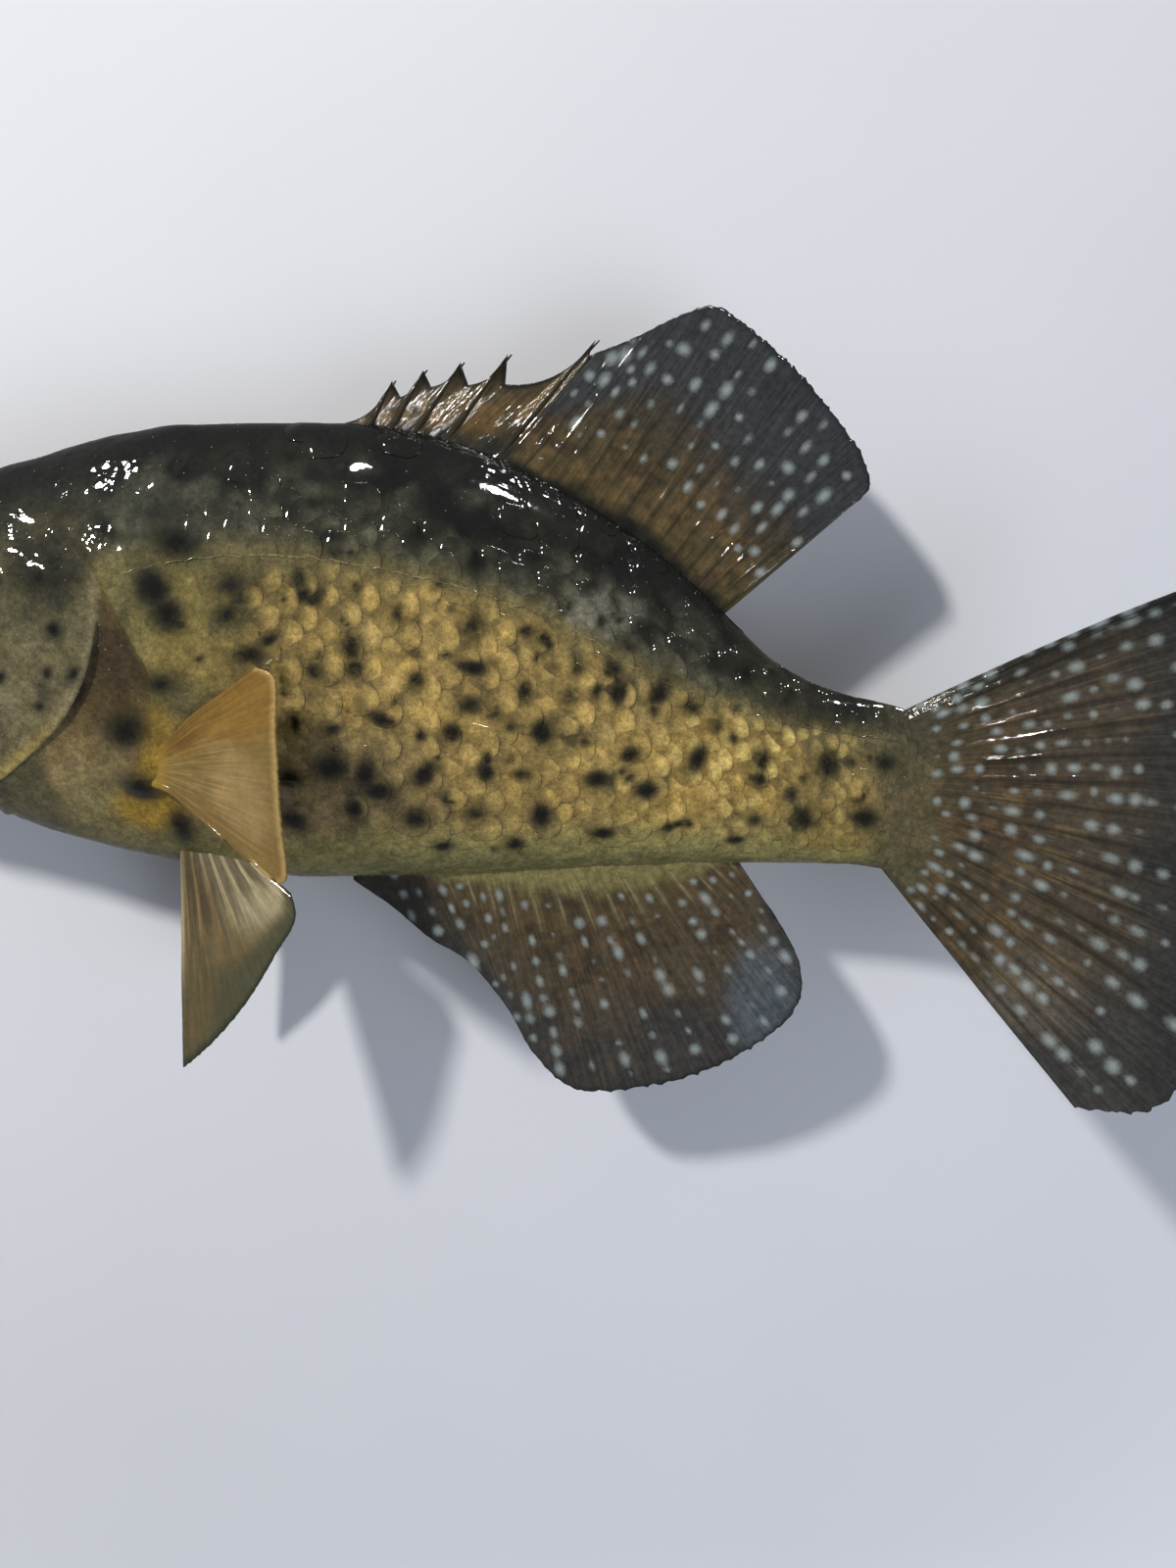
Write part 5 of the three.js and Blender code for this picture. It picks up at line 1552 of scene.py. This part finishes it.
def aim(thing, place, target):
    thing.location = place
    thing.rotation_euler = (Vector(target) - Vector(place)).to_track_quat("-Z", "Y").to_euler()


def add_lamp(name, place, target, size, watts, colour="FFFFFF"):
    bpy.ops.object.light_add(type="AREA", location=place)
    lamp = bpy.context.object
    lamp.name = name
    lamp.data.shape, lamp.data.size, lamp.data.energy = "DISK", size, watts
    lamp.data.color = srgb(colour)[:3]
    aim(lamp, place, target)
    return lamp


def make_cove(sizes):
    """The wall behind the fish, curving into the floor below."""
    wide, top, front, floor, radius, gap, steps = 6.0, 2.4, -3.2, -sizes.floor_drop, 0.12, 0.0006, 12
    profile = [(gap, top), (gap, floor + radius)]
    for step in range(1, steps + 1):
        angle = math.pi / 2 * step / steps
        profile.append((gap - radius * (1 - math.cos(angle)), floor + radius * (1 - math.sin(angle))))
    profile.append((front, floor))
    points = np.array([[(x / MM, y / MM, z / MM) for y, z in profile]
                       for x in (-wide, -wide / 3, wide / 3, wide)])
    cove = sheet("cove", points)
    bpy.context.view_layer.update()
    mesh = cove.data
    if mesh.polygons[0].normal.y > 0.5 or mesh.polygons[0].normal.z < -0.5:
        mesh.flip_normals()
    mesh.polygons.foreach_set("use_smooth", [True] * len(mesh.polygons))
    mesh.materials.append(wall_paint(tuple(sizes.wall_colour)))
    for ray in ("visible_shadow", "visible_diffuse", "visible_glossy", "visible_transmission"):
        setattr(cove, ray, False)


def make_stage(sizes):
    make_cove(sizes)
    world = bpy.data.worlds.new("pale room")
    bpy.context.scene.world = world
    world.use_nodes = True
    world.node_tree.nodes.clear()
    add = partial(add_node, world.node_tree)
    lit = add("Background", srgb("EEF1F6"), sizes.room_light)
    pale = add("Background", srgb(BACKGROUND), 1.0)
    both = add("MixShader", add("LightPath").outputs["Is Camera Ray"], lit, pale)
    add("OutputWorld", {"Surface": both})
    middle = (0.0, -0.035, 0.0)
    add_lamp("key", (-0.58, -0.82, 0.72), middle, 0.1, sizes.key_watts, "FFF8EE")
    fill = add_lamp("fill", (0.7, -1.0, -0.35), middle, 0.9, sizes.fill_watts, "F1F5FF")
    for index, (place, share) in enumerate((((-0.5, -0.35, 0.85), 1), ((-0.1, -0.5, 0.95), 0.35),
                                            ((0.35, -0.4, 0.9), 1.1))):
        glint = add_lamp(f"glint_{index + 1}", place, middle, 0.085, share * sizes.glint_watts)
        glint.visible_diffuse = False
    behind = add_lamp("behind", (0.3, 0.9, 0.7), middle, 0.8, sizes.behind_watts, "F4F6FF")
    behind.visible_glossy = fill.visible_glossy = False
    bpy.ops.object.camera_add()
    camera = bpy.context.object
    camera.name = "camera"
    level = math.cos(CAMERA_DIP)
    ahead = Vector((math.sin(CAMERA_TURN) * level, math.cos(CAMERA_TURN) * level, -math.sin(CAMERA_DIP)))
    camera.location = CAMERA_AT
    camera.rotation_euler = ahead.to_track_quat("-Z", "Y").to_euler()
    camera.data.lens, camera.data.sensor_width, camera.data.sensor_fit = CAMERA_LENS, CAMERA_SENSOR, "AUTO"
    camera.data.clip_start = 0.01
    scene = bpy.context.scene
    scene.camera = camera
    scene.view_settings.view_transform = "Standard"


# ---- the add-on ----
class SkinSettings(bpy.types.PropertyGroup):
    coat_depth: FloatProperty(name="Coat depth", description="How far the skin lies inside the scales",
                              default=0.0005, unit="LENGTH")
    head_step: FloatProperty(name="Head ring spacing", description="Spacing of the skin's rings on the head",
                             default=0.0006, unit="LENGTH")
    trunk_step: FloatProperty(name="Trunk ring spacing", description="Spacing of the rings under the scales",
                              default=0.0022, unit="LENGTH")
    around: IntProperty(name="Points round", description="Points round each ring of the skin", default=300)


class ScaleSettings(bpy.types.PropertyGroup):
    pitch: FloatProperty(name="Pitch", description="Distance from one column of scales to the next",
                         default=0.0046, unit="LENGTH")
    height: FloatProperty(name="Height", description="Height of a scale at mid body", default=0.0079,
                          unit="LENGTH")
    thickness: FloatProperty(name="Thickness", description="Thickness of a scale at its rim", default=0.0002,
                             unit="LENGTH")


class FinSettings(bpy.types.PropertyGroup):
    root_thickness: FloatProperty(name="Root thickness", description="Thickness over the rays at the root",
                                  default=0.0018, unit="LENGTH")
    rim_thickness: FloatProperty(name="Rim thickness", description="Thickness over the rays at the rim",
                                 default=0.0009, unit="LENGTH")
    spine_thickness: FloatProperty(name="Spine thickness", description="Thickness of a spine at its root",
                                   default=0.0024, unit="LENGTH")


class StageSettings(bpy.types.PropertyGroup):
    wall_colour: FloatVectorProperty(name="Wall", description="Colour of the wall and floor", subtype="COLOR",
                                     size=4, default=srgb("E2E7F1"), min=0, max=1)
    floor_drop: FloatProperty(name="Floor drop", description="How far the floor lies below the fish",
                              default=0.42, unit="LENGTH")
    room_light: FloatProperty(name="Room light", description="Strength of the light from all round",
                              default=0.2)
    key_watts: FloatProperty(name="Key", description="Power of the main lamp", default=12, unit="POWER")
    fill_watts: FloatProperty(name="Fill", description="Power of the broad lamp", default=5, unit="POWER")
    glint_watts: FloatProperty(name="Glints", description="Power of each small lamp for the gloss",
                               default=3.2, unit="POWER")
    behind_watts: FloatProperty(name="Behind", description="Power of the lamp behind the wall", default=8,
                                unit="POWER")


class CRAPPIE_OT_skin(bpy.types.Operator):
    """Model and paint the skin of the head, trunk and tail stalk"""
    bl_idname = "crappie.skin"
    bl_label = "Skin"

    def execute(self, context):
        make_skin(context.scene.crappie_skin)
        return {"FINISHED"}


class CRAPPIE_OT_scales(bpy.types.Operator):
    """Lay the overlapping scales on both flanks"""
    bl_idname = "crappie.scales"
    bl_label = "Scales"

    def execute(self, context):
        for side in (LEFT, RIGHT):
            make_scales(side, context.scene.crappie_scales)
        return {"FINISHED"}


class CRAPPIE_OT_lateral_line(bpy.types.Operator):
    """Run the raised lateral line along both flanks"""
    bl_idname = "crappie.lateral_line"
    bl_label = "Lateral line"

    def execute(self, context):
        for side in (LEFT, RIGHT):
            make_lateral_line(side)
        return {"FINISHED"}


class CRAPPIE_OT_fins(bpy.types.Operator):
    """Model the ribbed fins with their pale spots"""
    bl_idname = "crappie.fins"
    bl_label = "Fins"

    def execute(self, context):
        make_fins(context.scene.crappie_fins)
        return {"FINISHED"}


class CRAPPIE_OT_spines(bpy.types.Operator):
    """Model the spiny part of the dorsal fin"""
    bl_idname = "crappie.spines"
    bl_label = "Dorsal spines"

    def execute(self, context):
        make_spiny_dorsal(context.scene.crappie_fins)
        return {"FINISHED"}


class CRAPPIE_OT_eyes(bpy.types.Operator):
    """Set the two glass eyes and the rims of skin round them"""
    bl_idname = "crappie.eyes"
    bl_label = "Eyes"

    def execute(self, context):
        for side in (LEFT, RIGHT):
            make_eye(side)
            make_eye_rim(side)
        return {"FINISHED"}


class CRAPPIE_OT_mount(bpy.types.Operator):
    """Finish the wooden block and the keyhole plate"""
    bl_idname = "crappie.mount"
    bl_label = "Block and plate"

    def execute(self, context):
        dress_mount()
        return {"FINISHED"}


class CRAPPIE_OT_stage(bpy.types.Operator):
    """Set up the wall, the lamps and the camera"""
    bl_idname = "crappie.stage"
    bl_label = "Stage"

    def execute(self, context):
        make_stage(context.scene.crappie_stage)
        return {"FINISHED"}


OPERATORS = (CRAPPIE_OT_skin, CRAPPIE_OT_scales, CRAPPIE_OT_lateral_line, CRAPPIE_OT_fins,
             CRAPPIE_OT_spines, CRAPPIE_OT_eyes, CRAPPIE_OT_mount, CRAPPIE_OT_stage)
GROUPS = {"crappie_skin": SkinSettings, "crappie_scales": ScaleSettings, "crappie_fins": FinSettings,
          "crappie_stage": StageSettings}


class CRAPPIE_PT_panel(bpy.types.Panel):
    """Lists the steps and their sizes"""
    bl_idname = "CRAPPIE_PT_panel"
    bl_label = "Mounted crappie"
    bl_space_type = "VIEW_3D"
    bl_region_type = "UI"
    bl_category = "Crappie"

    def draw(self, context):
        for step in OPERATORS:
            self.layout.operator(step.bl_idname)
        for key, group in GROUPS.items():
            box = self.layout.box()
            for name in group.__annotations__:
                box.prop(getattr(context.scene, key), name)


def register():
    for cls in (*GROUPS.values(), *OPERATORS, CRAPPIE_PT_panel):
        bpy.utils.register_class(cls)
    for key, group in GROUPS.items():
        setattr(bpy.types.Scene, key, PointerProperty(type=group))


def unregister():
    for key in GROUPS:
        delattr(bpy.types.Scene, key)
    for cls in reversed((*GROUPS.values(), *OPERATORS, CRAPPIE_PT_panel)):
        bpy.utils.unregister_class(cls)


def main():
    register()
    bpy.ops.object.select_all(action="DESELECT")
    for step in OPERATORS:
        group, name = step.bl_idname.split(".")
        getattr(getattr(bpy.ops, group), name)()


if __name__ == "__main__":
    main()
